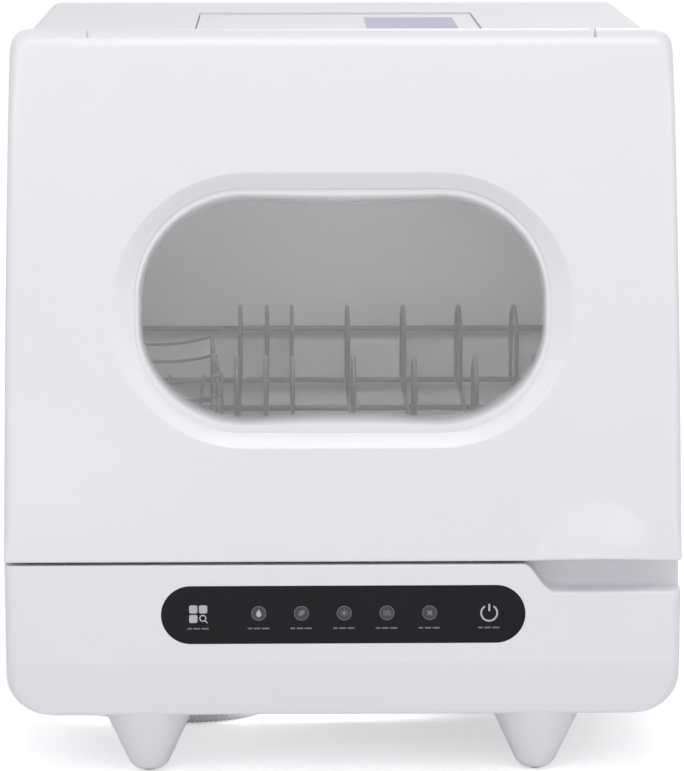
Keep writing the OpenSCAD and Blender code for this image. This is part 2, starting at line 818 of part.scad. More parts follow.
// A hollow arm with two blades, nozzles along the top and a socket for its hub
module spray_arm(reach, z, socket_r, nozzle_up) {
    color(grey) translate([0, arm_y, z]) difference() {
        union() {
            for (s = [0, 180]) rotate(s) translate([0, -11, 0]) cube([reach - 11, 22, 8]);
            for (s = [0, 180]) rotate(s) translate([reach - 11, 0, 0]) cylinder(h = 8, r = 11);
            translate([0, 0, -2]) cylinder(h = 12, r = socket_r + 5);
        }
        translate([0, 0, -3]) cylinder(h = 14, r = socket_r);
        for (s = [0, 180], i = [2 : 6]) rotate(s)
            translate([i * (reach - 20) / 6, 3, nozzle_up ? 5 : -1]) cylinder(h = 4, r = 1.4);
    }
}

module lower_arm() {
    spray_arm(lower_arm_r, lower_z, 9 + run_gap, true);
}

module upper_arm() {
    spray_arm(upper_arm_r, upper_z, 7 + run_gap, false);
}

module arm_hub() {
    color(grey) difference() {
        union() {
            translate([0, arm_y, sump_z + sump_wall])
                cylinder(h = lower_z + 12 - sump_z - sump_wall, r = 9);
            translate([0, arm_y, sump_z + sump_wall]) cylinder(h = 4, r = 12);
            translate([0, arm_y, lower_z + 10 + seat]) cylinder(h = 4, r = 13);
            translate([0, arm_y, lower_z - 2 - seat - 3]) cylinder(h = 3, r = 12);
        }
        translate([0, arm_y, sump_z]) cylinder(h = sump_d + 22, r = 6.5);
    }
}

feed_x = 42 - half_w;
feed_y = fan_wall_y + 7;
feed_z = tub_lid_z + 5.4;
pump_x = -78;
pump_y = front_y + 200;
pump_z = 96;

module upper_feed() {
    color(grey) difference() {
        union() {
            pipe([[0, arm_y, upper_z - 4], [0, arm_y, feed_z]], 7);
            translate([0, arm_y, upper_z - 2 - seat - 3]) cylinder(h = 3, r = 11);
            translate([0, arm_y, upper_z + 10 + seat]) cylinder(h = 3, r = 11);
            translate([0, arm_y, tub_top - 3]) cylinder(h = tub_wall + 3, r = 9);
            translate([0, arm_y, tub_lid_z]) cylinder(h = 2, r = 14);
            pipe([[0, arm_y, feed_z], [0, feed_y, feed_z], [feed_x, feed_y, feed_z],
                  [feed_x, feed_y, pump_z + 44], [pump_x, feed_y, pump_z + 44],
                  [pump_x, pump_y + 20, pump_z + 44], [pump_x, pump_y + 20, pump_z + 38]], 5);
        }
        translate([0, arm_y, upper_z - 6]) cylinder(h = 30, r = 4.5);
    }
}

// ---- Rack and basket ----

// A wire between two points; its ends run on a little so that crossing wires are welded
module rod(p, q, r) {
    run = q - p;
    translate(p) rotate([0, acos(run[2] / norm(run)), atan2(run[1], run[0])])
        translate([0, 0, -r * 0.7]) cylinder(h = norm(run) + 1.4 * r, r = r, $fn = 8);
}

// A run of wires through a list of points
module wire(points, r) {
    for (i = [0 : len(points) - 2]) rod(points[i], points[i + 1], r);
}

side_x = rack_w / 2 - wire_r;
long_z = rack_z + wire_r + thin_r - 0.5;
rim_z1 = rack_z + rim_h;
rim_z0 = rack_z + front_rim_h;
basket_x = basket_gap + basket_w / 2 - side_x;
tine_x0 = basket_x + basket_w / 2 + tine_gap;
wide_x0 = tine_x0 + 2 * fine_pitch - 1.2;
wide_count = floor((side_x - 12 - wide_x0) / tine_pitch);      // as many as leave room for a hand
fine_tines = [for (i = [0 : 1]) tine_x0 + i * fine_pitch];
wide_tines = [for (i = [0 : wide_count]) wide_x0 + i * tine_pitch];
tines = concat(fine_tines, wide_tines);
basket_front = 70;

// An upright hairpin at x between two depths
module hairpin(x, d0, d1) {
    top = rack_z + tine_h - thin_r;
    wire([[x, front_y + d0, long_z], [x, front_y + d0, top - 8], [x, front_y + d0 + 6, top],
          [x, front_y + d1 - 6, top], [x, front_y + d1, top - 8], [x, front_y + d1, long_z]], thin_r);
}

module dish_rack() {
    color(steel) {
        for (d = [rack_front, 110, 218, rack_back])
            rod([-side_x, front_y + d, rack_z], [side_x, front_y + d, rack_z], wire_r);
        rod([-side_x, front_y + rack_back, rim_z1], [side_x, front_y + rack_back, rim_z1], wire_r);
        rod([-side_x, front_y + rack_front, rim_z0], [side_x, front_y + rack_front, rim_z0], wire_r);
        for (s = [-1, 1]) {
            wire([[s * side_x, front_y + rack_front, rim_z0],
            [s * side_x, front_y + rack_back - 110, rim_z1],
                  [s * side_x, front_y + rack_back, rim_z1]], wire_r);
            rod([s * side_x, front_y + rack_front, rack_z],
            [s * side_x, front_y + rack_back, rack_z], wire_r);
            for (d = [rack_front, rack_back])
                rod([s * side_x, front_y + d, rack_z],
                [s * side_x, front_y + d, d == rack_front ? rim_z0 : rim_z1],
                    wire_r);
        }
        for (x = concat(tines, [basket_x - 24, basket_x, basket_x + 24]))
            rod([x, front_y + rack_front, long_z], [x, front_y + rack_back, long_z], thin_r);
        for (x = tines) {
            hairpin(x, 62, 110);
            hairpin(x, rack_back - 64, rack_back - 2);
        }
    }
}

rail_z = rack_z + 1;
rail_x0 = rack_w / 2 + 4.3;
rail_x1 = tub_w / 2;
tongue_x = rail_x1 - 2.5;
glide_places = [78, rack_back - 25];

module rack_glides() {
    color(grey) for (s = [-1, 1], d = glide_places) mirror([s < 0 ? 1 : 0, 0, 0]) {
        translate([rack_w / 2 + 0.05, front_y + d - 9, rack_z - 3]) cube([3.4, 18, 13.7]);
        translate([rack_w / 2 + 3, front_y + d - 9, rail_z + 4.3])
            cube([tongue_x - rack_w / 2 - 3, 18, 5.4]);
    }
}

module rack_rails() {
    color(grey) for (s = [-1, 1]) mirror([s < 0 ? 1 : 0, 0, 0]) difference() {
        translate([rail_x0, front_y + 48, rail_z]) cube([rail_x1 - rail_x0, rack_back - 45, 14]);
        translate([rail_x0 - 1, front_y + 47, rail_z + 4]) cube([tongue_x + seat - rail_x0 + 1, rack_back - 46, 6]);
    }
}

module cutlery_basket() {
    r = 1.1;
    z0 = long_z + thin_r + r + 0.3;
    z1 = z0 + basket_h - 2 * r;
    x0 = basket_x - basket_w / 2 + 2;
    x1 = basket_x + basket_w / 2 - 2;
    y0 = front_y + basket_front;
    y1 = y0 + basket_l;
    color(steel) {
        for (z = [z0, z0 + (z1 - z0) * 0.36, z0 + (z1 - z0) * 0.7, z1])
            wire([[x0, y0, z], [x1, y0, z], [x1, y1, z], [x0, y1, z], [x0, y0, z]], r);
        for (x = [x0, x1], y = [y0, (y0 + y1) / 2, y1]) rod([x, y, z0], [x, y, z1], r);
        for (i = [1 : 7]) rod([x0 + i * (x1 - x0) / 8, y0, z0], [x0 + i * (x1 - x0) / 8, y1, z0], r);
        for (i = [1 : 5]) rod([x0, y0 + i * (y1 - y0) / 6, z0], [x1, y0 + i * (y1 - y0) / 6, z0], r);
    }
}

// ---- Sump and pumps ----

sump_z = tub_floor - sump_d;
sump_wall = 3;
sump_top = tub_floor - tub_wall;
filter_x = sump_x + 36;
filter_y = sump_y - 28;
port_x = -42;
port_z = pump_z + 8;
drain_x = sump_x + sump_r + 5;
drain_z = sump_z + 20;
outlet_y = pump_y + 20;
float_x = 33 - tub_w / 2;
float_y = front_y + 110;

module sump() {
    color(grey) difference() {
        union() {
            translate([sump_x, sump_y, sump_z]) cylinder(h = sump_d - tub_wall, r = sump_r - 2);
            translate([sump_x, sump_y, sump_top - 3]) cylinder(h = 3, r = sump_r + 4);
            translate([port_x, pump_y, port_z]) rotate([0, 90, 0]) cylinder(h = 20, r = 11);
            translate([sump_x, sump_y, drain_z]) rotate([0, 90, 0]) cylinder(h = drain_x - sump_x, r = 9);
        }
        translate([sump_x, sump_y, sump_z + sump_wall]) cylinder(h = sump_d, r = sump_r - 9);
        translate([sump_x, sump_y, sump_z + sump_wall])
            cylinder(h = sump_d - tub_wall - 2 * sump_wall, r = sump_r - 5);
        translate([port_x - 1, pump_y, port_z]) rotate([0, 90, 0]) cylinder(h = 40, r = 8.5);
        translate([sump_x + 40, sump_y, drain_z]) rotate([0, 90, 0]) cylinder(h = 60, r = 6.5);
    }
}

module filter_plate() {
    color(steel) difference() {
        translate([sump_x, sump_y, sump_top]) cylinder(h = 1.5, r = sump_r - 4.4);
        translate([0, arm_y, sump_top - 1]) cylinder(h = 4, r = 9 + seat);
        translate([filter_x, filter_y, sump_top - 1]) cylinder(h = 4, r = filter_r + 0.1);
        for (ring = [0 : 2], i = [0 : 17]) {
            r = 48 + ring * 10;
            at = [sump_x + r * cos(i * 20 + ring * 7), sump_y + r * sin(i * 20 + ring * 7)];
            if (norm(at - [0, arm_y]) > 15 && norm(at - [filter_x, filter_y]) > filter_r + 5)
                translate([at[0], at[1], sump_top - 1]) cylinder(h = 4, r = 2, $fn = 8);
        }
    }
}

module filter_cup() {
    color(grey) translate([filter_x, filter_y, 0]) difference() {
        union() {
            translate([0, 0, sump_top + 1.5 + seat]) cylinder(h = 2, r = filter_r + 4);
            translate([0, 0, sump_z + 15]) cylinder(h = sump_d - 12, r = filter_r - seat);
        }
        translate([0, 0, sump_z + 17]) cylinder(h = sump_d, r = filter_r - 2.5);
        for (i = [0 : 11], z = [sump_z + 22 : 9 : sump_top - 14]) rotate(i * 30)
            translate([filter_r - 5, -3, z]) cube([8, 6, 6]);
    }
    color(grey) translate([filter_x, filter_y, 0]) {
        translate([-filter_r + 1.5, -2, sump_top - 2]) cube([2 * filter_r - 3, 4, 8]);
        translate([0, 0, sump_top + 1.5]) cylinder(h = 4.5, r = 5);
    }
}

module float() {
    color(grey) {
        translate([float_x, float_y, tub_floor + seat]) cylinder(h = 9, r = 11);
        translate([float_x, float_y, tub_floor - 16]) cylinder(h = 17, r = 3);
    }
}

volute_r = impeller_r + 9;
volute_x0 = pump_x - 13;
volute_x1 = pump_x + 13;

module pump_volute() {
    color(white) difference() {
        union() {
            translate([volute_x0, pump_y, pump_z]) rotate([0, 90, 0]) cylinder(h = 26, r = volute_r);
            translate([volute_x0, pump_y - 18, plate_top])
                cube([26, 36, pump_z - plate_top - impeller_r - 3]);
            translate([pump_x, outlet_y, pump_z]) cylinder(h = 38, r = 7);
            translate([volute_x1 - 1, pump_y, port_z]) rotate([0, 90, 0])
                cylinder(h = port_x - volute_x1 + 1, r = 11);
        }
        translate([volute_x0 + 3, pump_y, pump_z]) rotate([0, 90, 0]) cylinder(h = 20, r = impeller_r + 5);
        translate([volute_x0 - 1, pump_y, pump_z]) rotate([0, 90, 0]) cylinder(h = 6, r = 4 + run_gap);
        translate([volute_x1 - 6, pump_y, port_z]) rotate([0, 90, 0]) cylinder(h = 40, r = 8.5);
        translate([pump_x, outlet_y, pump_z + 10]) cylinder(h = 40, r = 5);
    }
}

module wash_motor() {
    color(grey) difference() {
        union() {
            translate([volute_x0 - 62, pump_y, pump_z]) rotate([0, 90, 0]) cylinder(h = 60, r = motor_r);
            translate([volute_x0 - 2, pump_y, pump_z]) rotate([0, 90, 0]) cylinder(h = 2, r = motor_r + 3);
            translate([volute_x0 - 70, pump_y, pump_z]) rotate([0, 90, 0]) cylinder(h = 9, r = 12);
            for (x = [-56, -16]) translate([volute_x0 + x, pump_y - 22, plate_top])
                cube([8, 44, pump_z - plate_top - 20]);
        }
        translate([volute_x0 - 22, pump_y, pump_z]) rotate([0, 90, 0]) cylinder(h = 30, r = 4 + run_gap);
    }
}

module wash_impeller() {
    color(dark) translate([volute_x0, pump_y, pump_z]) rotate([0, 90, 0]) {
        translate([0, 0, -20]) cylinder(h = 26, r = 4);
        translate([0, 0, 4]) cylinder(h = 3, r = impeller_r);
        difference() {
            translate([0, 0, 6]) cylinder(h = 10, r = 7);
            translate([0, 0, 8]) cylinder(h = 20, r = 2);
        }
        for (i = [0 : 5]) rotate(i * 60) translate([5, -1, 6]) cube([impeller_r - 6, 2, 8]);
    }
}

pump_body_x = drain_x;

module drain_pump() {
    color(white) difference() {
        union() {
            translate([pump_body_x, sump_y, drain_z]) rotate([0, 90, 0]) cylinder(h = 24, r = drain_r);
            translate([pump_body_x + 24, sump_y, drain_z]) rotate([0, 90, 0])
                cylinder(h = 24, r = drain_r - 4);
            translate([pump_body_x + 6, sump_y - 12, plate_top])
                cube([16, 24, drain_z - plate_top - drain_r + 7]);
            translate([pump_body_x + 12, sump_y + 12, drain_z + 8]) rotate([-90, 0, 0])
                cylinder(h = 14, r = 7);
        }
        translate([pump_body_x + 2.5, sump_y, drain_z]) rotate([0, 90, 0])
            cylinder(h = 17, r = drain_r - 3);
        translate([pump_body_x - 1, sump_y, drain_z]) rotate([0, 90, 0]) cylinder(h = 5, r = 6.5);
        translate([pump_body_x + 10, sump_y, drain_z]) rotate([0, 90, 0]) cylinder(h = 30, r = 3 + run_gap);
        translate([pump_body_x + 12, sump_y + 10, drain_z + 8]) rotate([-90, 0, 0]) cylinder(h = 20, r = 5);
    }
}

module drain_impeller() {
    color(dark) translate([pump_body_x, sump_y, drain_z]) rotate([0, 90, 0]) {
        translate([0, 0, 8]) cylinder(h = 30, r = 3);
        for (i = [0 : 3]) rotate(i * 90) translate([0, -1, 6]) cube([drain_r - 6, 2, 11]);
    }
}

module heater() {
    ring_r = sump_r - 14;
    ring_z = sump_z + sump_wall + 4.2;
    color(steel) translate([sump_x, sump_y, ring_z]) {
        rotate(35) rotate_extrude(angle = 290) translate([ring_r, 0]) circle(3.6, $fn = 24);
        for (a = [35, 325]) rotate(a) translate([ring_r, 0, -3.8]) cylinder(h = 6, r = 3);
    }
}

// ---- Tank, fan and electrics ----

module water_tank() {
    color([0.85, 0.87, 0.9]) difference() {
        union() {
            translate([tank_x - tank_w / 2, tank_y0, tank_z0]) cube([tank_w, tank_y1 - tank_y0, tank_h]);
            for (s = [-1, 1]) translate([tank_x + s * (tank_w / 2 - 20) - 6, tank_y0 + 20, seam_h - 4])
                cube([12, 20, tank_z0 - seam_h + 5]);
        }
        translate([tank_x - tank_w / 2 + 2, tank_y0 + 2, tank_z0 + 2])
            cube([tank_w - 4, tank_y1 - tank_y0 - 4, tank_h - 4]);
        translate([neck_x, neck_y, tank_top - 4]) cylinder(h = 10, r = neck_r + seat);
        translate([38, neck_y + 15, tank_z0 - 2]) cylinder(h = 8, r = 5);
    }
}

module tank_hose() {
    color(grey) tube_pipe([[38, neck_y + 15, tank_z0], [38, neck_y + 15, sump_top - 22],
                           [38, sump_y + sump_r - 2, sump_top - 22]], 6, 1.5);
}

module drain_pipe() {
    start = [pump_body_x + 12, sump_y + 26, drain_z + 8];
    end = [spout_x, rear_y - 22, spout_z];
    route = [start, start + [0, 36, 0], start + [-4, 60, -8], end - [-4, 76, -8], end - [0, 50, 0], end];
    color(grey) difference() {
        swept_tube(route, 6.5, 16);
        swept_tube(concat([start - [0, 1, 0]], route, [end + [0, 1, 0]]), 5, 16);
    }
}

fan_y0 = front_y + tub_back + 40;
fan_y1 = rear_y - wall - seat;

module fan_housing() {
    color(dark) difference() {
        union() {
            difference() {
                translate([fan_x, fan_y0, fan_z]) rotate([-90, 0, 0])
                    cylinder(h = fan_y1 - fan_y0, r = fan_r + 5);
                translate([fan_x, fan_y0 + 2.5, fan_z]) rotate([-90, 0, 0]) cylinder(h = 60, r = fan_r + 2);
            }
            translate([fan_x, fan_y1 - 12, fan_z]) rotate([-90, 0, 0]) cylinder(h = 12, r = 11);
            for (a = [45, 135]) translate([fan_x, fan_y1 - 1.5, fan_z]) rotate([0, a, 0])
                cube([2 * fan_r + 6, 3, 5], center = true);
            translate([fan_x - 16, fan_wall_y, fan_z]) rotate([-90, 0, 0])
                cylinder(h = fan_y0 - fan_wall_y + 1, r = 14);
        }
        translate([fan_x - 16, fan_wall_y - 1, fan_z]) rotate([-90, 0, 0])
            cylinder(h = fan_y0 - fan_wall_y + 6, r = 11.5);
        translate([fan_x, fan_y1 - 20, fan_z]) rotate([-90, 0, 0]) cylinder(h = 17, r = 1.5 + run_gap);
    }
}

module fan_wheel() {
    color(grey) translate([fan_x, fan_y0 + 4, fan_z]) rotate([-90, 0, 0]) {
        cylinder(h = 12, r = 10);
        translate([0, 0, 2]) cylinder(h = 20, r = 1.5);
        for (i = [0 : 6]) rotate(i * 360 / 7) translate([8, 0, 6]) rotate([35, 0, 0])
            cube([fan_r - 8, 12, 1.4], center = false);
    }
}

module lamp() {
    color([0.95, 0.95, 0.9]) translate([-40, front_y + 96, tub_top - 4]) cube([80, 12, 4]);
}

power_w = 84;
power_x = post_x - post_foot_r - 2 - power_w;

module power_board() {
    color("darkgreen") translate([power_x, front_y + 62, plate_top]) cube([power_w, 66, 2]);
    color(dark) {
        translate([power_x + 10, front_y + 66, plate_top + 2]) cube([26, 20, 24]);
        translate([power_x + 46, front_y + 70, plate_top + 2]) cube([34, 12, 14]);
        translate([power_x + 52, front_y + 96, plate_top + 2]) cylinder(h = 20, r = 7);
    }
}

module wiring_loom() {
    board_back = front_y + panel_t + wall + 6 + 1.6 + 8;
    board_z = panel_z - 4;
    plug_x = power_x + 23;
    color(dark) swept_tube([[71, board_back, board_z], [71, front_y + 46, board_z],
                            [(71 + plug_x) / 2, front_y + 62, board_z - 5], [plug_x, front_y + 73, board_z - 16],
                            [plug_x, front_y + 75, plate_top + 26]], 2.5, 12, [1, 0, 0]);
}

module inlet_valve() {
    color(white) difference() {
        union() {
            translate([spigot_x - 20, rear_y - 58, rear_hole_z - 17]) cube([40, 49, 34]);
            translate([spigot_x, rear_y - 12, rear_hole_z]) rotate([-90, 0, 0])
                cylinder(h = 12, r = collar_r);
            translate([spigot_x, rear_y - 1, rear_hole_z]) rotate([-90, 0, 0])
                cylinder(h = spigot_out + 1, r = spigot_r);
            translate([spigot_x - 4, rear_y - 40, rear_hole_z + 16]) cylinder(h = 18, r = 9);
            translate([spigot_x - 10, rear_y - 50, plate_z]) cube([20, 30, rear_hole_z - 16 - plate_z]);
        }
        translate([spigot_x, rear_y - 40, rear_hole_z]) rotate([-90, 0, 0]) cylinder(h = 80, r = 8);
    }
}

module drain_spout() {
    color(grey) difference() {
        union() {
            translate([spout_x, rear_y - 22, spout_z]) rotate([-90, 0, 0])
                cylinder(h = 22 + spigot_out, r = spout_r);
            translate([spout_x, rear_y - wall - 9, spout_z]) rotate([-90, 0, 0])
                cylinder(h = 3, r = spout_r + 4);
        }
        translate([spout_x, rear_y - 23, spout_z]) rotate([-90, 0, 0]) cylinder(h = 60, r = 5);
    }
}

module power_inlet() {
    color(dark) difference() {
        union() {
            translate([gland_x, rear_y - 20, rear_hole_z]) rotate([-90, 0, 0])
                cylinder(h = 20, r = gland_r);
            translate([gland_x, rear_y, rear_hole_z]) rotate([-90, 0, 0]) cylinder(h = 4, r = gland_r + 4);
            translate([gland_x, rear_y - wall - 5.5, rear_hole_z]) rotate([-90, 0, 0])
                cylinder(h = 4, r = gland_r + 3);
        }
        translate([gland_x, rear_y - 21, rear_hole_z]) rotate([-90, 0, 0]) cylinder(h = 60, r = 3.6);
    }
}

// ---- Drain hose ----

hose_r = hose_d / 2;
coil_x = -106;
coil_y = 6;
coil_r = 72.5;
inner_coil_r = coil_r - hose_d;
top_turn = 187;                        // degrees of hose that lie on the two flat turns
hose_route = [
    [86.5, 215, 62], [86.5, 232, 62], [85, 252, 58], [79, 272, 51], [69, 287, 43], [56, 297, 35],
    [41, 303, 28],
    [26, 304, 22], [11, 302, 17], [-3, 296, 12.5], [-15, 286, 9.5], [-25, 272, 7.5], [-31, 254, 6.5],
    [-33.5, 234, 6.5], [-33.5, 208, 6.5], [-33.5, 178, 6.5], [-33.5, 148, 6.5], [-33.5, 118, 6.5],
    [-33.5, 88, 6.5], [-33.5, 62, 6.5], [-33.5, 37.4, 6.5]];

function unit(v) = v / norm(v);
function route_dir(p, i) = unit(p[min(i + 1, len(p) - 1)] - p[max(i - 1, 0)]);
function ring_at(p, i, r, n, ref) =
    let (t = route_dir(p, i), side = unit(cross(ref, t)), up = cross(t, side))
    [for (k = [0 : n - 1]) p[i] + r * (cos(360 * k / n) * side + sin(360 * k / n) * up)];

// A closed tube swept through a list of points; ref is a direction that the route never runs along
module swept_tube(p, r, n, ref = [0, 0, 1]) {
    last = len(p) - 1;
    points = [for (i = [0 : last]) each ring_at(p, i, r, n, ref)];
    sides = [for (i = [0 : last - 1], k = [0 : n - 1])
        [i * n + k, (i + 1) * n + k, (i + 1) * n + (k + 1) % n, i * n + (k + 1) % n]];
    caps = [[for (k = [0 : n - 1]) k], [for (k = [n - 1 : -1 : 0]) last * n + k]];
    polyhedron(points, concat(sides, caps), convexity = 4);
}

module drain_hose() {
    color(grey) swept_tube(hose_route, hose_r, 10);
}

module hose_coil() {
    lift = sqrt(hose_d * hose_d - hose_r * hose_r);
    mean_r = (coil_r + inner_coil_r) / 2;
    color(grey) translate([coil_x, coil_y, 0]) {
        rotate_extrude($fn = 96) translate([inner_coil_r - hose_r, 0]) square([2 * hose_d, hose_d]);
        rotate(-top_turn) rotate_extrude(angle = top_turn, $fn = 96) translate([mean_r, hose_r + lift])
            circle(hose_r);
    }
}

module hose_end() {
    mean_r = (coil_r + inner_coil_r) / 2;
    color(dark) translate([coil_x, coil_y, 0]) rotate(-top_turn) translate([mean_r, 0, hose_d + 7.5])
        rotate([90, 0, 0]) cylinder(h = 30, r = 7.5);
}

base_shell();
foot_pads();
floor_plate();
floor_screws();
casing();
rear_cover();
rear_screws();
fill_lid();
lid_pin();
lid_label();
control_panel();
control_board();
door_outer();
door_inner();
window_glass();
window_seal();
hinge_leaves();
hinge_pins();
strike_plate();
magnet_catch();
tub();
tub_gasket();
tub_supports();
lower_arm();
upper_arm();
arm_hub();
upper_feed();
dish_rack();
rack_glides();
rack_rails();
cutlery_basket();
sump();
filter_plate();
filter_cup();
float();
pump_volute();
wash_motor();
wash_impeller();
drain_pump();
drain_impeller();
heater();
water_tank();
fill_funnel();
tank_hose();
drain_pipe();
fan_housing();
fan_wheel();
lamp();
power_board();
wiring_loom();
inlet_valve();
drain_spout();
power_inlet();
drain_hose();
hose_coil();
hose_end();
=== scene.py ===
import json
from math import asin, atan, atan2, copysign, cos, degrees, hypot, pi, radians, sin, sqrt, tau

import bmesh
import bpy
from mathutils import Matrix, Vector


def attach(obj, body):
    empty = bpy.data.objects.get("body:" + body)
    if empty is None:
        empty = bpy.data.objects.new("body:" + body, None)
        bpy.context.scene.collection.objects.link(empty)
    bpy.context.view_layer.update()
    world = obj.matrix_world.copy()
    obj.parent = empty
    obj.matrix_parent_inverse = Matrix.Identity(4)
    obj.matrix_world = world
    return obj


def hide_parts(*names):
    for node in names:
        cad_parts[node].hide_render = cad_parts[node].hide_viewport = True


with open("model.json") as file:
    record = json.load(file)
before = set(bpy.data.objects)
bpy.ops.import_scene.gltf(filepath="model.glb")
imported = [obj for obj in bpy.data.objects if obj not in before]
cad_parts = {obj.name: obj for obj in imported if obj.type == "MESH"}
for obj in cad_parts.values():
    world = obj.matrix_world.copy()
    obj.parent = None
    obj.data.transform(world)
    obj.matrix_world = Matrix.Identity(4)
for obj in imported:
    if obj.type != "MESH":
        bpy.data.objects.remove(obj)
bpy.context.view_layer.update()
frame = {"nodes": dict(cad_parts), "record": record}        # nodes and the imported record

nodes = frame["nodes"]
print("frame loaded,", len(nodes), "nodes")

# ---- camera ----

shot = {
    "place": (-0.0374, -2.269, 0.635),
    "pitchDown": 0.1827,
    "yaw": -0.0177,
    "lens": 160.0,       # millimetres on a 36 mm sensor, along the height
}


def addCamera():
    data = bpy.data.cameras.new("shotCamera")
    data.sensor_fit = "VERTICAL"
    data.sensor_height = 36.0
    data.lens = shot["lens"]
    data.clip_end = 20.0
    cam = bpy.data.objects.new("shotCamera", data)
    bpy.context.collection.objects.link(cam)
    cam.location = shot["place"]
    cam.rotation_euler = (pi / 2 - shot["pitchDown"], 0.0, shot["yaw"])
    bpy.context.scene.camera = cam


addCamera()

# ---- points and lines ----


def onCircle(cx, cy, r, angle):
    return cx + r * cos(radians(angle)), cy + r * sin(radians(angle))


def arcPoints(cx, cy, r, start, end, count):
    return [onCircle(cx, cy, r, start + (end - start) * k / count) for k in range(count + 1)]


def circlePoints(x, z, r, count=40):
    return arcPoints(x, z, r, 0, 360, count)[:-1]


def roundRect(w, h, r, perCorner=10):
    pts = []
    for sx, sy, start in ((1, 1, 0), (-1, 1, 90), (-1, -1, 180), (1, -1, 270)):
        pts += arcPoints(sx * (w / 2 - r), sy * (h / 2 - r), r, start, start + 90, perCorner)
    return pts


def shifted(points, x, z):
    return [(px + x, pz + z) for px, pz in points]


def quarter(count, first=0):
    # cosine and sine in steps over a quarter turn
    return [(cos(radians(90 * k / count)), sin(radians(90 * k / count))) for k in range(first, count + 1)]


def spaced(a, b, step):
    count = max(1, round(abs(b - a) / step))
    return [a + (b - a) * k / count for k in range(count + 1)]


def joinLists(*lists):
    out = []
    for part in lists:
        for v in part:
            if not out or abs(out[-1] - v) > 1e-6:
                out.append(v)
    return out


def ease(t):
    t = min(1.0, max(0.0, t))
    return t * t * (3 - 2 * t)


def lineLength(points):
    return sum((b - a).length for a, b in zip(points, points[1:]))


def smoothLine(points, step):
    # Catmull-Rom through the points, then evenly spaced
    ext = [2 * points[0] - points[1]] + points + [2 * points[-1] - points[-2]]
    fine = []
    for i in range(1, len(ext) - 2):
        p0, p1, p2, p3 = ext[i - 1:i + 3]
        count = max(2, int((p2 - p1).length / step * 3))
        for k in range(count):
            t = k / count
            fine.append(0.5 * (2 * p1 + (p2 - p0) * t + (2 * p0 - 5 * p1 + 4 * p2 - p3) * t * t
                               + (3 * p1 - p0 - 3 * p2 + p3) * t ** 3))
    return evenLine(fine + [points[-1]], step)


def evenLine(points, step):
    count = max(2, round(lineLength(points) / step))
    gap = lineLength(points) / count
    out, carry = [points[0].copy()], 0.0
    for a, b in zip(points, points[1:]):
        run = (b - a).length
        if run == 0:
            continue
        at = gap - carry
        while at <= run + 1e-12 and len(out) < count:
            out.append(a.lerp(b, at / run))
            at += gap
        carry = run - (at - gap)
    return out + [points[-1].copy()]


def roundCorners(points, bend, steps=5):
    pts = [Vector(p) for p in points]
    out = [pts[0]]
    for a, b, c in zip(pts, pts[1:], pts[2:]):
        reach = min(bend, (b - a).length * 0.48, (c - b).length * 0.48)
        p, q = b + (a - b).normalized() * reach, b + (c - b).normalized() * reach
        for k in range(steps + 1):
            t = k / steps
            out.append((1 - t) ** 2 * p + 2 * t * (1 - t) * b + t * t * q)
    return out + [pts[-1]]


def strokeShape(points, half):
    # a line of (x, z) points made into a closed band
    left, right = [], []
    for i, (x, z) in enumerate(points):
        a, b = points[max(i - 1, 0)], points[min(i + 1, len(points) - 1)]
        dx, dz = b[0] - a[0], b[1] - a[1]
        run = hypot(dx, dz)
        nx, nz = -dz / run * half, dx / run * half
        left.append((x + nx, z + nz))
        right.append((x - nx, z - nz))
    return left + right[::-1]


# ---- mesh helpers ----


def linkMesh(name, verts, faces, smooth=True):
    mesh = bpy.data.meshes.new(name)
    mesh.from_pydata([tuple(v) for v in verts], [], faces)
    mesh.validate()
    mesh.polygons.foreach_set("use_smooth", [smooth] * len(mesh.polygons))
    obj = bpy.data.objects.new(name, mesh)
    bpy.context.collection.objects.link(obj)
    return obj


def cleanMesh(obj, mergeAt=0.00002, sharpDeg=None):
    bm = bmesh.new()
    bm.from_mesh(obj.data)
    bmesh.ops.remove_doubles(bm, verts=bm.verts, dist=mergeAt)
    bmesh.ops.dissolve_degenerate(bm, edges=bm.edges, dist=mergeAt * 0.5)
    bmesh.ops.recalc_face_normals(bm, faces=bm.faces)
    if sharpDeg is not None:
        for e in bm.edges:
            if len(e.link_faces) == 2 and e.calc_face_angle() > radians(sharpDeg):
                e.smooth = False
    bm.to_mesh(obj.data)
    bm.free()
    return obj


def gridFaces(rowCount, colCount, first=0):
    # rows of quads that close around
    faces = []
    for i in range(rowCount - 1):
        for j in range(colCount):
            k = (j + 1) % colCount
            a, b = first + i * colCount, first + (i + 1) * colCount
            faces.append((a + j, a + k, b + k, b + j))
    return faces


def loft(name, rings, capEnds=False, sharpDeg=None):
    verts = [p for ring in rings for p in ring]
    n = len(rings[0])
    faces = gridFaces(len(rings), n)
    if capEnds:
        faces += [tuple(range(n)), tuple(range((len(rings) - 1) * n, len(rings) * n))]
    return cleanMesh(linkMesh(name, verts, faces), sharpDeg=sharpDeg)


def tubeRings(path, radiusAt, sides):
    pts = [Vector(p) for p in path]
    rings = []
    tangent = (pts[1] - pts[0]).normalized()
    up = Vector((0, 0, 1)) if abs(tangent.z) < 0.9 else Vector((1, 0, 0))
    side = tangent.cross(up).normalized()
    for i, p in enumerate(pts):
        a, b = pts[max(i - 1, 0)], pts[min(i + 1, len(pts) - 1)]
        tangent = (b - a).normalized()
        side = (side - tangent * side.dot(tangent)).normalized()
        up = side.cross(tangent)
        rings.append([p + radiusAt(i) * (cos(tau * k / sides) * side + sin(tau * k / sides) * up)
                      for k in range(sides)])
    return rings


def dress(obj, material, body, slotName, *replaced):
    obj.data.materials.append(material)
    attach(obj, body)
    if replaced:
        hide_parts(*replaced)
    return obj


# ---- drain hose ----

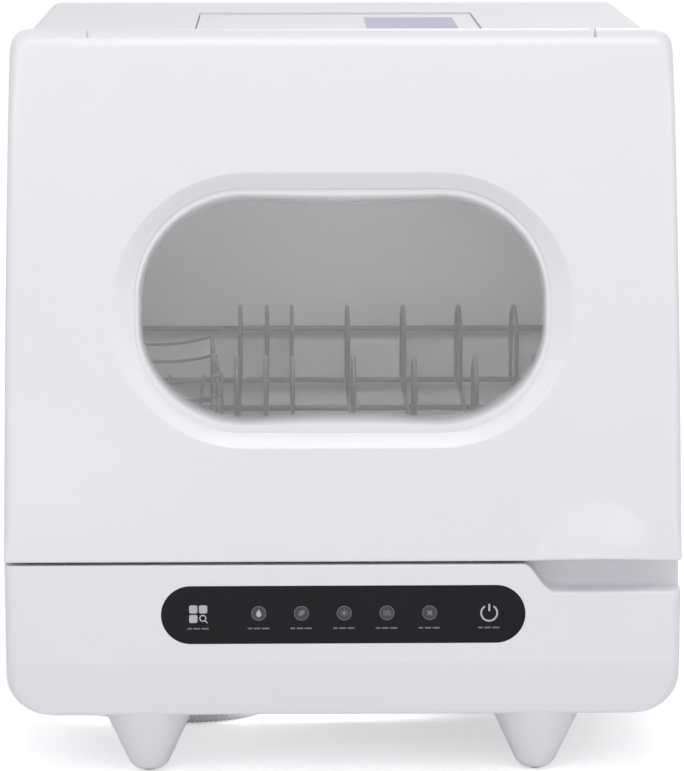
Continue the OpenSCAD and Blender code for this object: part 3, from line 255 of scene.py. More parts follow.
hose = {
    "outer": 0.013,
    "exit": (0.0865, 0.215, 0.062),
    "route": [(86.5, 215, 62), (86.5, 232, 62), (85, 252, 58), (79, 272, 51), (69, 287, 43), (56, 297, 35),
              (41, 303, 28), (26, 304, 22), (11, 302, 17), (-3, 296, 12.5), (-15, 286, 9.5), (-25, 272, 7.5),
              (-31, 254, 6.5), (-33.5, 234, 6.5), (-33.5, 208, 6.5), (-33.5, 178, 6.5), (-33.5, 148, 6.5),
              (-33.5, 118, 6.5), (-33.5, 88, 6.5), (-33.5, 62, 6.5), (-33.5, 37.4, 6.5)],   # millimetres
    "coilCentre": (-106, 6),   # the coil is in millimetres and degrees as well
    "coilRadius": 72.5,
    "easeIn": (250, 100),      # where each flat turn starts to ease inwards, and over how much
    "liftFrom": 610,     # from here it climbs onto the turns below
    "topEase": (700, 60),
    "topRadius": 66.0,
    "topTurn": 187,      # how far the turn on top goes around
    "rib": 0.0032,       # pitch of the corrugation
    "ribDepth": 0.0007,
    "sides": 14,
}


def hoseLine():
    d = hose["outer"] * 1000
    flatZ, outerR, innerR = d / 2, hose["coilRadius"], hose["coilRadius"] - d
    (inFrom, inOver), (topFrom, topOver) = hose["easeIn"], hose["topEase"]
    pts = [Vector(p) for p in hose["route"]]
    climb = len(pts) - 1
    for a in range(4, 721 + hose["topTurn"], 4):
        under = outerR - d * ease((a % 360 - inFrom) / inOver) if a < 720 else innerR
        if a <= 360:
            r, z = under, flatZ                      # first flat turn, easing inwards at its end
        else:
            r = innerR + (hose["topRadius"] - innerR) * ease((a - topFrom) / topOver)
            apart = min(d, under - r) if a < topFrom else r - innerR
            z = flatZ + sqrt(max(0.0, d * d - apart * apart)) if a > hose["liftFrom"] else flatZ
        pts.append(Vector((*onCircle(*hose["coilCentre"], r, -a), z)))
    for _ in range(3):                               # takes the kink out of the climb
        middle = [(pts[i - 1] + 2 * pts[i] + pts[i + 1]) / 4 for i in range(climb, len(pts) - 1)]
        pts = pts[:climb] + middle + pts[-1:]
    return [p * 0.001 for p in pts]


def addHose(material):
    path = smoothLine(hoseLine(), hose["rib"] / 4)
    r, depth = hose["outer"] / 2, hose["ribDepth"]
    rings = tubeRings(path, lambda i: r - depth * (0.5 - 0.5 * cos(tau * i / 4)), hose["sides"])
    piece = loft("drainHosePipe", rings, capEnds=True)
    dress(piece, material, "root", "hose_grey", "drain_hose", "hose_coil")


# ---- finishes ----


def wire(tree, node, values):
    # links what comes from another node and sets everything else
    for key, value in values.items():
        if isinstance(value, bpy.types.NodeSocket):
            tree.links.new(value, node.inputs[key])
        else:
            node.inputs[key].default_value = value
    return node


def put(tree, kind, values=None, **settings):
    node = tree.nodes.new(kind)
    for key, value in settings.items():
        setattr(node, key, value)
    return wire(tree, node, values or {})


def newGroup(name, inputs, outputs):
    tree = bpy.data.node_groups.new(name, "ShaderNodeTree")
    for label, value in inputs.items():
        sock = tree.interface.new_socket(label, in_out="INPUT", socket_type="NodeSocketFloat")
        sock.default_value = value
    for label in outputs:
        tree.interface.new_socket(label, in_out="OUTPUT", socket_type="NodeSocketFloat")
    return tree, tree.nodes.new("NodeGroupInput").outputs, tree.nodes.new("NodeGroupOutput")


def mathNode(tree, operation, a, b, clamp=False):
    return put(tree, "ShaderNodeMath", {0: a, 1: b}, operation=operation, use_clamp=clamp).outputs[0]


def objectPoint(tree):
    return put(tree, "ShaderNodeTexCoord").outputs["Object"]


def noiseOn(tree, point, scale, detail, rough=0.5):
    values = {"Vector": point, "Scale": scale, "Detail": detail, "Roughness": rough}
    return put(tree, "ShaderNodeTexNoise", values).outputs["Fac"]


def mouldGroup():
    # fine orange-peel of moulded plastic, with slow clouds for its colour
    tree, inn, out = newGroup("mouldTexture", {"Peel Scale": 900.0, "Cloud Scale": 9.0}, ("Peel", "Cloud"))
    point = objectPoint(tree)
    wire(tree, out, {"Peel": noiseOn(tree, point, inn["Peel Scale"], 2.0, 0.45),
                     "Cloud": noiseOn(tree, point, inn["Cloud Scale"], 3.0)})
    return tree


def edgeGroup():
    # 1 along edges, where a rounded normal parts from the true one
    tree, inn, out = newGroup("edgeWear", {"Radius": 0.002, "Breakup Scale": 60.0}, ("Edge",))
    bevel = put(tree, "ShaderNodeBevel", {"Radius": inn["Radius"]}, samples=4)
    geo = put(tree, "ShaderNodeNewGeometry")
    dot = put(tree, "ShaderNodeVectorMath", {0: bevel.outputs["Normal"], 1: geo.outputs["Normal"]},
              operation="DOT_PRODUCT")
    edge = mathNode(tree, "MULTIPLY", mathNode(tree, "SUBTRACT", 1.0, dot.outputs["Value"]), 6.0)
    noise = noiseOn(tree, objectPoint(tree), inn["Breakup Scale"], 3.0)
    wire(tree, out, {"Edge": mathNode(tree, "MULTIPLY", edge, noise, clamp=True)})
    return tree


def dustGroup():
    # dust lies on what faces up, thicker in patches
    tree, inn, out = newGroup("dustOnTop", {"Patch Scale": 14.0, "Amount": 0.5}, ("Dust",))
    geo = put(tree, "ShaderNodeNewGeometry")
    split = put(tree, "ShaderNodeSeparateXYZ", {"Vector": geo.outputs["Normal"]})
    noise = noiseOn(tree, objectPoint(tree), inn["Patch Scale"], 5.0, 0.6)
    up = mathNode(tree, "POWER", mathNode(tree, "MAXIMUM", split.outputs["Z"], 0.0), 3.0)
    patch = mathNode(tree, "MULTIPLY", up, noise)
    wire(tree, out, {"Dust": mathNode(tree, "MULTIPLY", patch, inn["Amount"], clamp=True)})
    return tree


def brushGroup():
    # drawn or brushed metal, as long thin streaks
    tree, inn, out = newGroup("brushedLines", {"Along": 6.0, "Across": 700.0}, ("Lines",))
    split = put(tree, "ShaderNodeSeparateXYZ", {"Vector": objectPoint(tree)})
    stretched = {axis: mathNode(tree, "MULTIPLY", split.outputs[axis], inn[scale])
                 for axis, scale in (("X", "Along"), ("Y", "Across"), ("Z", "Across"))}
    join = put(tree, "ShaderNodeCombineXYZ", stretched)
    wire(tree, out, {"Lines": noiseOn(tree, join.outputs["Vector"], 1.0, 3.0)})
    return tree


def boardGroup():
    # copper tracks under green resist, with pads on a grid
    tree, inn, out = newGroup("boardTracks", {"Pitch": 260.0}, ("Track", "Pad"))
    grid = {"Vector": objectPoint(tree), "Scale": inn["Pitch"]}
    bricks = put(tree, "ShaderNodeTexBrick",
                 {"Mortar Size": 0.03, "Brick Width": 0.9, "Row Height": 0.22, **grid})
    spots = put(tree, "ShaderNodeTexVoronoi", {"Randomness": 0.25, **grid})
    near = mathNode(tree, "SUBTRACT", 0.22, spots.outputs["Distance"])
    wire(tree, out, {"Track": bricks.outputs["Fac"],
                     "Pad": mathNode(tree, "MULTIPLY", near, 9.0, clamp=True)})
    return tree


def braidGroup():
    # two crossing sets of strands, as on a braided sleeve
    tree, inn, out = newGroup("braidWeave", {"Pitch": 420.0}, ("Strand",))
    point = objectPoint(tree)
    heights = []
    for turn in (0.7, -0.7):
        spin = put(tree, "ShaderNodeMapping", {"Rotation": (turn, turn, 0.0), "Vector": point})
        wave = put(tree, "ShaderNodeTexWave", {"Distortion": 0.4, "Detail": 1.0, "Scale": inn["Pitch"],
                                               "Vector": spin.outputs["Vector"]})
        heights.append(wave.outputs["Fac"])
    wire(tree, out, {"Strand": mathNode(tree, "MAXIMUM", *heights)})
    return tree


groups = {"mould": mouldGroup(), "edge": edgeGroup(), "dust": dustGroup(), "brush": brushGroup(),
          "board": boardGroup(), "braid": braidGroup()}
peelDepth = 0.00004


def useGroup(tree, name, values=None):
    return put(tree, "ShaderNodeGroup", values, node_tree=groups[name]).outputs


def newMaterial(name):
    mat = bpy.data.materials.new(name)
    mat.use_nodes = True
    return mat, mat.node_tree, mat.node_tree.nodes["Principled BSDF"]


def blendColour(tree, fac, a, b):
    pair = [(*c, 1.0) if isinstance(c, tuple) else c for c in (a, b)]
    return put(tree, "ShaderNodeMix", {0: fac, 6: pair[0], 7: pair[1]}, data_type="RGBA").outputs[2]


def mapRange(tree, value, low, high):
    return put(tree, "ShaderNodeMapRange", {"Value": value, "To Min": low, "To Max": high}).outputs["Result"]


def addBump(tree, shader, height, distance, strength=0.6):
    bump = put(tree, "ShaderNodeBump", {"Height": height, "Distance": distance, "Strength": strength})
    tree.links.new(bump.outputs["Normal"], shader.inputs["Normal"])


def dusted(tree, colour, dustTone, values):
    film = useGroup(tree, "dust", values)["Dust"]
    return blendColour(tree, film, colour, dustTone), film


def mouldedPlastic(name, colour, cloudTo, rough=0.32, peelScale=900.0, dust=0.25, wearTo=None, coat=0.0,
                   specular=None):
    mat, tree, shader = newMaterial(name)
    mould = useGroup(tree, "mould", {"Peel Scale": peelScale})
    edge = useGroup(tree, "edge", {"Radius": 0.0012})["Edge"]
    worn = wearTo or tuple(min(1.0, c * 1.04) for c in colour)
    clouded = blendColour(tree, mapRange(tree, mould["Cloud"], 0.0, 1.0), colour, cloudTo)
    edged = blendColour(tree, mathNode(tree, "MULTIPLY", edge, 0.5), clouded, worn)
    tone, film = dusted(tree, edged, (0.72, 0.71, 0.69), {"Amount": dust})
    spread = mapRange(tree, mould["Cloud"], rough - 0.05, rough + 0.05)
    dull = mathNode(tree, "ADD", spread, mathNode(tree, "MULTIPLY", film, 0.25))
    wire(tree, shader, {"Base Color": tone, "Roughness": dull, "IOR": 1.47})
    addBump(tree, shader, mould["Peel"], peelDepth)
    if coat:
        wire(tree, shader, {"Coat Weight": coat, "Coat Roughness": 0.12})
    if specular is not None:
        wire(tree, shader, {"Specular IOR Level": specular})
    return mat


def brushedMetal(name, colour, dark, rough=0.3, along=6.0, across=700.0):
    mat, tree, shader = newMaterial(name)
    lines = useGroup(tree, "brush", {"Along": along, "Across": across})["Lines"]
    edge = useGroup(tree, "edge", {"Radius": 0.0008})["Edge"]
    worn = blendColour(tree, edge, blendColour(tree, lines, dark, colour), (0.86, 0.86, 0.87))
    tone = dusted(tree, worn, (0.6, 0.59, 0.57), {"Amount": 0.2})[0]
    wire(tree, shader, {"Base Color": tone, "Metallic": 1.0,
                        "Roughness": mapRange(tree, lines, rough - 0.1, rough + 0.12)})
    addBump(tree, shader, lines, 0.00002, 0.5)
    return mat


def cloudedFinish(name, colour, cloudTo, cloudScale, rough, dust=None, dustTone=None, peel=None,
                  peelScale=900.0):
    # clouds of colour, under dust where it gets any, with a roughness that follows the clouds
    mat, tree, shader = newMaterial(name)
    mould = useGroup(tree, "mould", {"Peel Scale": peelScale, "Cloud Scale": cloudScale})
    tone = blendColour(tree, mould["Cloud"], colour, cloudTo)
    if dust:
        tone = dusted(tree, tone, dustTone, dust)[0]
    dull = mapRange(tree, mould["Cloud"], *rough) if isinstance(rough, tuple) else rough
    wire(tree, shader, {"Base Color": tone, "Roughness": dull})
    if peel:
        addBump(tree, shader, mould["Peel"], peel)
    return mat, tree, shader


def printedInk(name, colour, cloudTo):
    return cloudedFinish(name, colour, cloudTo, 300.0, 0.5)[0]


def coatedWire():
    return cloudedFinish("coatedWire", (0.06, 0.06, 0.062), (0.085, 0.085, 0.088), 30.0, (0.35, 0.5),
                         {"Amount": 0.12}, (0.4, 0.4, 0.4), peelDepth, 700.0)[0]


def glossBlack():
    mat, tree, shader = cloudedFinish("panelGloss", (0.0115, 0.0115, 0.0135), (0.0150, 0.0150, 0.0175), 12.0,
                                      (0.16, 0.24), {"Amount": 0.1, "Patch Scale": 40.0}, (0.2, 0.2, 0.2),
                                      peelScale=120.0)
    wire(tree, shader, {"Specular IOR Level": 0.12})
    return mat


def seeThrough(name, colour, cloudTo, alpha, rough):
    # frosted moulded plastic that lets some of what is behind it show
    mat, tree, shader = cloudedFinish(name, colour, cloudTo, 16.0, (rough - 0.06, rough + 0.08),
                                      peel=0.00005, peelScale=400.0)
    edge = mathNode(tree, "MULTIPLY", useGroup(tree, "edge", {"Radius": 0.002})["Edge"], 0.3)
    wire(tree, shader, {"Alpha": mathNode(tree, "ADD", edge, alpha, clamp=True)})
    return mat


def lampMaterial():
    mat, tree, shader = cloudedFinish("lampLens", (0.85, 0.85, 0.82), (0.9, 0.9, 0.88), 20.0, 0.5)
    wire(tree, shader, {"Emission Color": (1.0, 0.99, 0.97, 1.0), "Emission Strength": 95.0})
    return mat


def boardMaterial():
    mat, tree, shader = newMaterial("boardGreen")
    tracks = useGroup(tree, "board")
    cloud = useGroup(tree, "mould", {"Cloud Scale": 40.0})["Cloud"]
    resist = blendColour(tree, cloud, (0.012, 0.095, 0.035), (0.02, 0.13, 0.05))
    tracked = blendColour(tree, tracks["Track"], (0.03, 0.2, 0.08), resist)
    wire(tree, shader, {"Base Color": blendColour(tree, tracks["Pad"], tracked, (0.62, 0.6, 0.55)),
                        "Metallic": tracks["Pad"], "Roughness": mapRange(tree, cloud, 0.25, 0.4)})
    addBump(tree, shader, tracks["Track"], 0.00006, 0.5)
    return mat


def sleeveMaterial():
    mat, tree, shader = newMaterial("loomSleeve")
    strand = useGroup(tree, "braid")["Strand"]
    tone = blendColour(tree, strand, (0.008, 0.008, 0.009), (0.045, 0.045, 0.048))
    wire(tree, shader, {"Base Color": dusted(tree, tone, (0.3, 0.29, 0.28), {"Amount": 0.5})[0],
                        "Roughness": mapRange(tree, strand, 0.75, 0.5)})
    addBump(tree, shader, strand, 0.0003, 0.8)
    return mat


def heaterMetal():
    # bright tube gone straw and blue in patches where it has been hot
    mat, tree, shader = newMaterial("heaterTube")
    lines = useGroup(tree, "brush", {"Along": 60.0, "Across": 200.0})["Lines"]
    cloud = useGroup(tree, "mould", {"Cloud Scale": 26.0})["Cloud"]
    steel = blendColour(tree, lines, (0.42, 0.42, 0.43), (0.6, 0.6, 0.6))
    heat = put(tree, "ShaderNodeValToRGB", {"Fac": cloud})
    ramp = heat.color_ramp
    ramp.elements[0].position, ramp.elements[0].color = 0.4, (0.55, 0.54, 0.52, 1.0)
    ramp.elements[1].position, ramp.elements[1].color = 0.72, (0.17, 0.2, 0.34, 1.0)
    ramp.elements.new(0.56).color = (0.52, 0.36, 0.16, 1.0)
    tone = blendColour(tree, mapRange(tree, cloud, 0.1, 0.8), steel, heat.outputs["Color"])
    wire(tree, shader, {"Base Color": tone, "Metallic": 1.0, "Roughness": mapRange(tree, lines, 0.22, 0.42)})
    return mat


glass = {
    "haze": (0.40, 0.40, 0.403),
    "hazeCloud": (0.415, 0.415, 0.418),
    "print": (0.80, 0.795, 0.82),
    "alpha": 0.26,
    "dots": 1300.0,      # printed dots to a metre
    "border": 0.0058,    # width of the print at the ends, and what it gains above and below
    "borderTop": 0.0062,
    "borderLow": 0.0140,
    "fadeGain": 1.45,
}


def printedGlass():
    # dots shrink as the print fades out
    mat, tree, shader = newMaterial("printedGlass")
    fade = put(tree, "ShaderNodeAttribute", attribute_name="printFade").outputs["Fac"]
    dots = put(tree, "ShaderNodeTexVoronoi",
               {"Vector": objectPoint(tree), "Scale": glass["dots"], "Randomness": 0.1})
    shrunk = mathNode(tree, "SUBTRACT", mathNode(tree, "MULTIPLY", fade, 0.7), dots.outputs["Distance"])
    dot = mathNode(tree, "MULTIPLY", shrunk, 1.2, clamp=True)
    solid = mathNode(tree, "POWER", mathNode(tree, "MULTIPLY", fade, 1.0, clamp=True), 1.5)
    printed = mathNode(tree, "MAXIMUM", dot, solid, clamp=True)
    cloud = useGroup(tree, "mould", {"Peel Scale": 300.0, "Cloud Scale": 5.0})["Cloud"]
    clear = blendColour(tree, cloud, glass["haze"], glass["hazeCloud"])
    wire(tree, shader, {"Base Color": blendColour(tree, printed, clear, glass["print"]),
                        "Alpha": mapRange(tree, printed, glass["alpha"], 1.0),
                        "Roughness": mapRange(tree, printed, 0.06, 0.22), "IOR": 1.5})
    return mat


# ---- door ----

body = {
    "halfWidth": 0.210,
    "frontY": -0.205,
    "seamZ": 0.1405,
    "crestZ": 0.4665,
    "taper": 0.005,      # width lost on each side up to the crest
}

door = {
    "lowZ": 0.1425,
    "hingeBack": 0.066,
    "crestRadius": 0.015,
    "startLean": 2.0,    # degrees at the seam
    "thick": 0.032,
    "sideEdge": 0.005,
    "lowEdge": 0.0015,
    "topEdge": 0.0035,   # what the side edge gains under the crest
    "crestEdge": 0.006,  # and on the crest
    "wall": 0.0025,
    "backGap": 0.001,    # the door's back stands this far before the mouth plane
    "rim": 0.006,        # depth of the rim that shows inside
    "gridHalf": 0.2,     # the columns are laid out on this half width, then fitted
}

window = {
    "z": 0.2975,
    "glass": (0.257, 0.152, 0.067),
    "bevel": (0.287, 0.171, 0.0845),
    "bevelDepth": 0.0068,
    "depth": 0.0085,     # of the glass below the face
    "glassThick": 0.004,
    "patch": (0.166, 0.106),
}

lip = {
    "x": 0.158,
    "halfWidth": 0.0385,
    "height": 0.043,
    "reach": 0.0099,
    "raise": 0.0034,     # arch in its lower edge
}

slots = {"x": 0.156, "half": 0.0017, "from": -56.0, "to": 130.0, "floor": 0.0085}

hingeY, hingeZ = body["frontY"] + door["hingeBack"], body["crestZ"] - door["crestRadius"]
faceDz = hingeZ - body["seamZ"]
leanCos, leanSin = cos(radians(door["startLean"])), sin(radians(door["startLean"]))
faceR = ((faceDz ** 2 + door["hingeBack"] ** 2 - door["crestRadius"] ** 2)
         / (2 * (door["hingeBack"] * leanCos - faceDz * leanSin - door["crestRadius"])))
faceY, faceZ = body["frontY"] + faceR * leanCos, body["seamZ"] - faceR * leanSin
windowLean = asin((window["z"] - faceZ) / faceR)
mouthSlope = (door["hingeBack"] - door["thick"]) / faceDz
crestKinds = ("crest", "slot")


def halfAt(z):
    return body["halfWidth"] - (z - body["seamZ"]) * body["taper"] / (body["crestZ"] - body["seamZ"])


def mouthY(z):
    return body["frontY"] + door["thick"] + (z - body["seamZ"]) * mouthSlope


def onFace(x, t, depth=0.0):
    # t runs up the face from the middle of the window; depth goes inwards
    lean = windowLean + t / faceR
    return Vector((x, faceY - (faceR - depth) * cos(lean), faceZ + (faceR - depth) * sin(lean)))


def faceT(z, r=faceR):
    return (asin((z - faceZ) / r) - windowLean) * faceR


tLow = faceT(door["lowZ"])
tHigh = (atan2(hingeZ - faceZ, faceY - hingeY) - windowLean) * faceR


def outlineReach(dx, dt, shape):
    # distance from the middle to a rounded rectangle along a direction
    w, h, r = shape
    lo, hi = 0.0, w
    for _ in range(40):
        mid = (lo + hi) / 2
        if hypot(max(abs(dx * mid) - w / 2 + r, 0.0), max(abs(dt * mid) - h / 2 + r, 0.0)) > r:
            hi = mid
        else:
            lo = mid
    return lo


def lipShape(p, front):
    # swells the face around the grip and arches the lower edge
    dx = (p.x - lip["x"]) / lip["halfWidth"]
    dz = (p.z - body["seamZ"]) / lip["height"]
    q = dx * dx + dz * dz
    out = Vector(p)
    if q < 1:
        out.y -= lip["reach"] * (1 - q) ** 1.6 * front
    out.z += lip["raise"] * max(0.0, 1 - dx * dx) ** 1.5 * max(0.0, 1 - dz) ** 2
    return out


def doorProfile():
    # (y, z, outward normal, kind) from the bottom's back edge, up the face and over the crest
    edge, low, wall = door["lowEdge"], door["lowZ"], door["wall"]
    backY, frontY = mouthY(low) - door["backGap"], onFace(0, tLow).y
    bottom = [(backY - door["rim"], low + wall), (backY, low + wall), (backY, low)]
    bottom += [(y, low) for y in spaced(backY, frontY + edge, 0.004)[1:-1]]
    rows = [(y, z, (0, -1), "bottom") for y, z in bottom]
    for a in spaced(-90, -180, 22.5):
        rows.append((*onCircle(frontY + edge, low + edge, edge, a), onCircle(0, 0, 1, a),
                     "bottom" if a == -90 else "face"))
    patch = window["patch"][1]
    ts = joinLists(spaced(tLow + edge + 0.001, tLow + 0.05, 0.0025), spaced(tLow + 0.05, tHigh, 0.008))
    ts = [t for t in ts if abs(t) > patch + 0.002]
    for t in sorted(ts + spaced(-patch, patch, 0.008)):
        lean = windowLean + t / faceR
        rows.append((*onFace(0, t).yz, (-cos(lean), sin(lean)), "face"))
    start = 180 - degrees(windowLean + tHigh / faceR)
    for a in joinLists(spaced(start, slots["to"], 6)[1:], spaced(slots["to"], slots["from"], 6),
                       spaced(slots["from"], -96, 5)):
        cut = slots["from"] - 0.5 <= a <= slots["to"] + 0.5
        rows.append((*onCircle(hingeY, hingeZ, door["crestRadius"], a), onCircle(0, 0, 1, a),
                     "slot" if cut else "crest"))
    return rows


def doorColumns():
    # (x, sunk) across the door; each side of a crest slot is a doubled column
    px, wide = window["patch"][0], door["gridHalf"]
    xs = spaced(-wide, -px, 0.006) + spaced(-px, px, 0.008) + spaced(px, wide, 0.003)
    cols = [(x, False) for x in sorted({round(x, 6) for x in xs})
            if abs(abs(x) - slots["x"]) > slots["half"] + 0.0012]
    for s in (-1, 1):
        a, b = s * slots["x"] - slots["half"], s * slots["x"] + slots["half"]
        cols += [(a, False), (a + 1e-7, True), (b - 1e-7, True), (b, False)]
    return sorted(cols)


def sideEdgeAt(z, n, kind):
    low, side = door["lowEdge"], door["sideEdge"]
    if kind == "bottom":
        return low
    if kind != "face":
        return side + door["crestEdge"] * max(0.0, n[1]) ** 0.7
    grow = min(1.0, (z - door["lowZ"]) / 0.02)
    top = max(0.0, (z - (body["crestZ"] - 0.05)) / 0.05)
    return low + (side - low) * grow + door["topEdge"] * top


def doorSide(side, row, shaped):
    # the rounded edge of one row, its flank and its rim
    y, z, n, kind = row
    edge, wide, wall = sideEdgeAt(z, n, kind), halfAt(z), Vector((-side * door["wall"], 0, 0))
    line = []
    for c, s in quarter(5, 1):
        sink = edge * (1 - c)
        line.append(shaped(Vector((side * (wide - edge + edge * s), y - n[0] * sink, z - n[1] * sink))))
    y0, z0 = line[-1].yz
    if kind in crestKinds:                           # there the flank closes at the hinge
        stop = Vector((side * wide, hingeY, hingeZ))
        rim = [stop, stop]
    else:
        zt = min(max(z0, door["lowZ"]), hingeZ - 0.002)
        yt = max(mouthY(zt) - door["backGap"], y0)
        stop = Vector((side * wide, yt, zt))
        rim = [stop + wall, stop + wall - Vector((0, min(door["rim"], yt - y0), 0))]
    return line + [line[-1].lerp(stop, k / 3) for k in range(1, 4)] + rim


def buildDoorShell(material):
    rows, cols = doorProfile(), doorColumns()
    px, pt = window["patch"]
    verts, faces = [], []
    for row in rows:
        y, z, n, kind = row
        fitted = (halfAt(z) - sideEdgeAt(z, n, kind) - px) / (door["gridHalf"] - px)
        front = 1.0 if kind != "bottom" else max(0.0, 1 - (y - body["frontY"]) / 0.02)
        shaped = Vector if kind in crestKinds else lambda p: lipShape(p, front)
        line = []
        for x, sunk in cols:
            if abs(x) > px:                          # beside the window the columns close up to the edge
                x = copysign(px + (abs(x) - px) * fitted, x)
            drop = door["crestRadius"] - slots["floor"] if sunk and kind == "slot" else 0.0
            line.append(shaped(Vector((x, y - n[0] * drop, z - n[1] * drop))))
        left, right = (doorSide(side, row, shaped) for side in (-1, 1))
        verts += left[::-1] + line + right
    width = len(verts) // len(rows)
    margin = [False] * ((width - len(cols)) // 2)
    rowIn = [kind == "face" and abs(faceT(z)) <= pt + 1e-5 for y, z, n, kind in rows]
    colIn = margin + [abs(x) <= px + 1e-5 for x, sunk in cols] + margin
    hole = []
    for i in range(len(rows) - 1):
        for j in range(width - 1):
            a, b = i * width + j, (i + 1) * width + j
            if rowIn[i] and rowIn[i + 1] and colIn[j] and colIn[j + 1]:
                hole.append((i, j))
            else:
                faces.append((a, a + 1, b + 1, b))
    addWindowPatch(verts, faces, borderOf(hole, width))
    shell = cleanMesh(linkMesh("doorShell", verts, faces), 0.00003, 38)
    dress(shell, material, "door", "white_shell", "door_outer")


def borderOf(hole, n):
    # the loop of vertex numbers around the rectangular hole
    (i0, j0), (i1, j1) = min(hole), max(hole)
    i1, j1 = i1 + 1, j1 + 1
    return ([i0 * n + j for j in range(j0, j1)] + [i * n + j1 for i in range(i0, i1)]
            + [i1 * n + j for j in range(j1, j0, -1)] + [i * n + j0 for i in range(i1, i0, -1)])


def windowRows():
    # (outline, depth) from the face down the bevel to the glass
    fillet = [(0.12 * k / 4, 0.12 * 0.55 * (k / 4) ** 2) for k in range(5)]
    steps = fillet + [(0.35, 0.3), (0.6, 0.6), (0.8, 0.84), (0.92, 0.97), (1.0, 1.06), (1.0, 1.3)]
    pairs = list(zip(window["bevel"], window["glass"]))
    return [(tuple(b + (g - b) * across for b, g in pairs), down * window["bevelDepth"])
            for across, down in steps]


def addWindowPatch(verts, faces, loop):
    # rings from the square hole in to the bevel, then down it to the glass
    aims = []
    for v in loop:
        x, t = verts[v].x, faceT(verts[v].z)
        far = hypot(x, t)
        aims.append((x / far, t / far, far))
    shapes = windowRows()
    stages = [(*shapes[0], 1 - (1 - k / 8) ** 1.3) for k in range(1, 9)]
    stages += [(*shape, 1.0) for shape in shapes[1:]]
    rings = [loop]
    for shape, depth, share in stages:
        rings.append(range(len(verts), len(verts) + len(loop)))
        for dx, dt, far in aims:
            d = far + (outlineReach(dx, dt, shape) - far) * share
            verts.append(onFace(dx * d, dt * d, depth))
    for a, b in zip(rings, rings[1:]):
        for k in range(len(a)):
            m = (k + 1) % len(a)
            faces.append((a[k], a[m], b[m], b[k]))


# ---- first materials ----

paint = {
    "shell": (0.785, 0.78, 0.81),
    "shellCloud": (0.80, 0.795, 0.82),
    # the base is the shell's one white plastic set a shade darker: painted shade on the lower body
    "base": (0.765, 0.76, 0.79),
}
shellWhite = mouldedPlastic("shellWhite", paint["shell"], paint["shellCloud"], rough=0.3, dust=0.06, coat=0.2)
# a darker copy of the shell's white, for the base and the feet: painted shade
baseWhiteShaded = mouldedPlastic("baseWhiteShaded", paint["base"], paint["shell"], rough=0.36, dust=0.06)
linerWhite = mouldedPlastic("linerWhite", (0.74, 0.74, 0.765), (0.77, 0.77, 0.79), rough=0.42, dust=0.1)
footRubber = mouldedPlastic("footRubber", (0.5, 0.5, 0.52), (0.56, 0.56, 0.58), rough=0.65, peelScale=420.0)
# the hose is grey, set lighter here to make up for the shade under the body: partly its own grey, partly
# painted light
hoseGreyLit = mouldedPlastic("hoseGreyLit", (0.78, 0.78, 0.795), (0.82, 0.82, 0.835), rough=0.5, peelScale=500.0)
steelBrushed = brushedMetal("steelBrushed", (0.62, 0.62, 0.64), (0.5, 0.5, 0.52))
print("materials made")

addHose(hoseGreyLit)
buildDoorShell(shellWhite)
print("door built")

# ---- base ----

base = {
    "underZ": 0.043,
    "creaseZ": 0.078,
    "tuck": 0.006,
    "lowCorner": 0.026,
    "planCorner": 0.007,
    "topRound": 0.0009,
    "lowRound": 0.0022,
    "deckDepth": 0.038,
    "opening": (0.160, 0.125),   # half sizes of the hole in the underside
    "recessDepth": 0.018,
    "recessFloor": 0.123,
    "recessRound": 0.0022,     # of the lip at its floor
    "recessHollow": 0.003,     # radius where its floor meets its back
    "recessX": 0.1256,   # its left edge, then how far that leans and curls in towards the seam
    "recessLean": 0.0100,
    "floorCurl": 0.0041,
    "seamCurl": 0.0030,
    "shelf": 0.003,      # width and drop of the step that the door's seam sits in
}

foot = {
    "x": 0.1225,
    "y": 0.169,
    "rootRadius": 0.0298,
    "tipRadius": 0.0105,
    "tipZ": 0.0012,
    "tipRound": 0.0092,
    "flare": 0.0052,
    "fillet": 0.006,     # height of the fillet into the underside
    "sides": 64,
    "pad": ((0.0, 0.0), (0.0036, 0.0), (0.0046, 0.0005), (0.0048, 0.003), (0.0, 0.003)),
    "padSides": 40,
}


def recessEdge(z):
    h = min(1.0, max(0.0, (z - base["recessFloor"]) / (body["seamZ"] - base["recessFloor"])))
    return (base["recessX"] - base["recessLean"] * h + base["floorCurl"] * (1 - h) ** 5
            - base["seamCurl"] * h ** 8)


def baseHalf(z):
    r = base["lowCorner"]
    drop = max(0.0, base["underZ"] + r - z)
    return body["halfWidth"] - r + sqrt(max(0.0, r * r - drop * drop))


def tuckAt(z):
    return base["tuck"] * max(0.0, base["creaseZ"] - z) / (base["creaseZ"] - base["underZ"])


def linePoints(x0, y0, x1, y1, count):
    return [(x0 + (x1 - x0) * k / count, y0 + (y1 - y0) * k / count) for k in range(1, count)]


def baseRing(z, depth=0.0, inset=0.0):
    # one plan section, counter-clockwise from the rear left, with the finger recess let in at the front right
    w, f = baseHalf(z) - inset, body["frontY"] + tuckAt(z) + inset
    b, r, x = -f, base["planCorner"], recessEdge(z)
    e, g = min(0.0016, depth / 2), min(0.004, depth / 2)
    turn = r - (r - 0.002) * min(1.0, depth / 0.006)
    deep = f + depth
    pts = (arcPoints(-w + r, b - r, r, 90, 180, 6) + linePoints(-w, b - r, -w, f + r, 30)
           + arcPoints(-w + r, f + r, r, 180, 270, 8) + linePoints(-w + r, f, x - e, f, 64)
           + arcPoints(x - e, f + e, e, -90, 0, 4) + linePoints(x, f + e, x, deep - g, 6)
           + arcPoints(x + g, deep - g, g, 180, 90, 5) + linePoints(x + g, deep, w - turn, deep, 16)
           + arcPoints(w - turn, deep + turn, turn, -90, 0, 8) + linePoints(w, deep + turn, w, b - r, 30)
           + arcPoints(w - r, b - r, r, 0, 90, 6) + linePoints(w - r, b, -w + r, b, 40))
    return [Vector((px, py, z)) for px, py in pts]


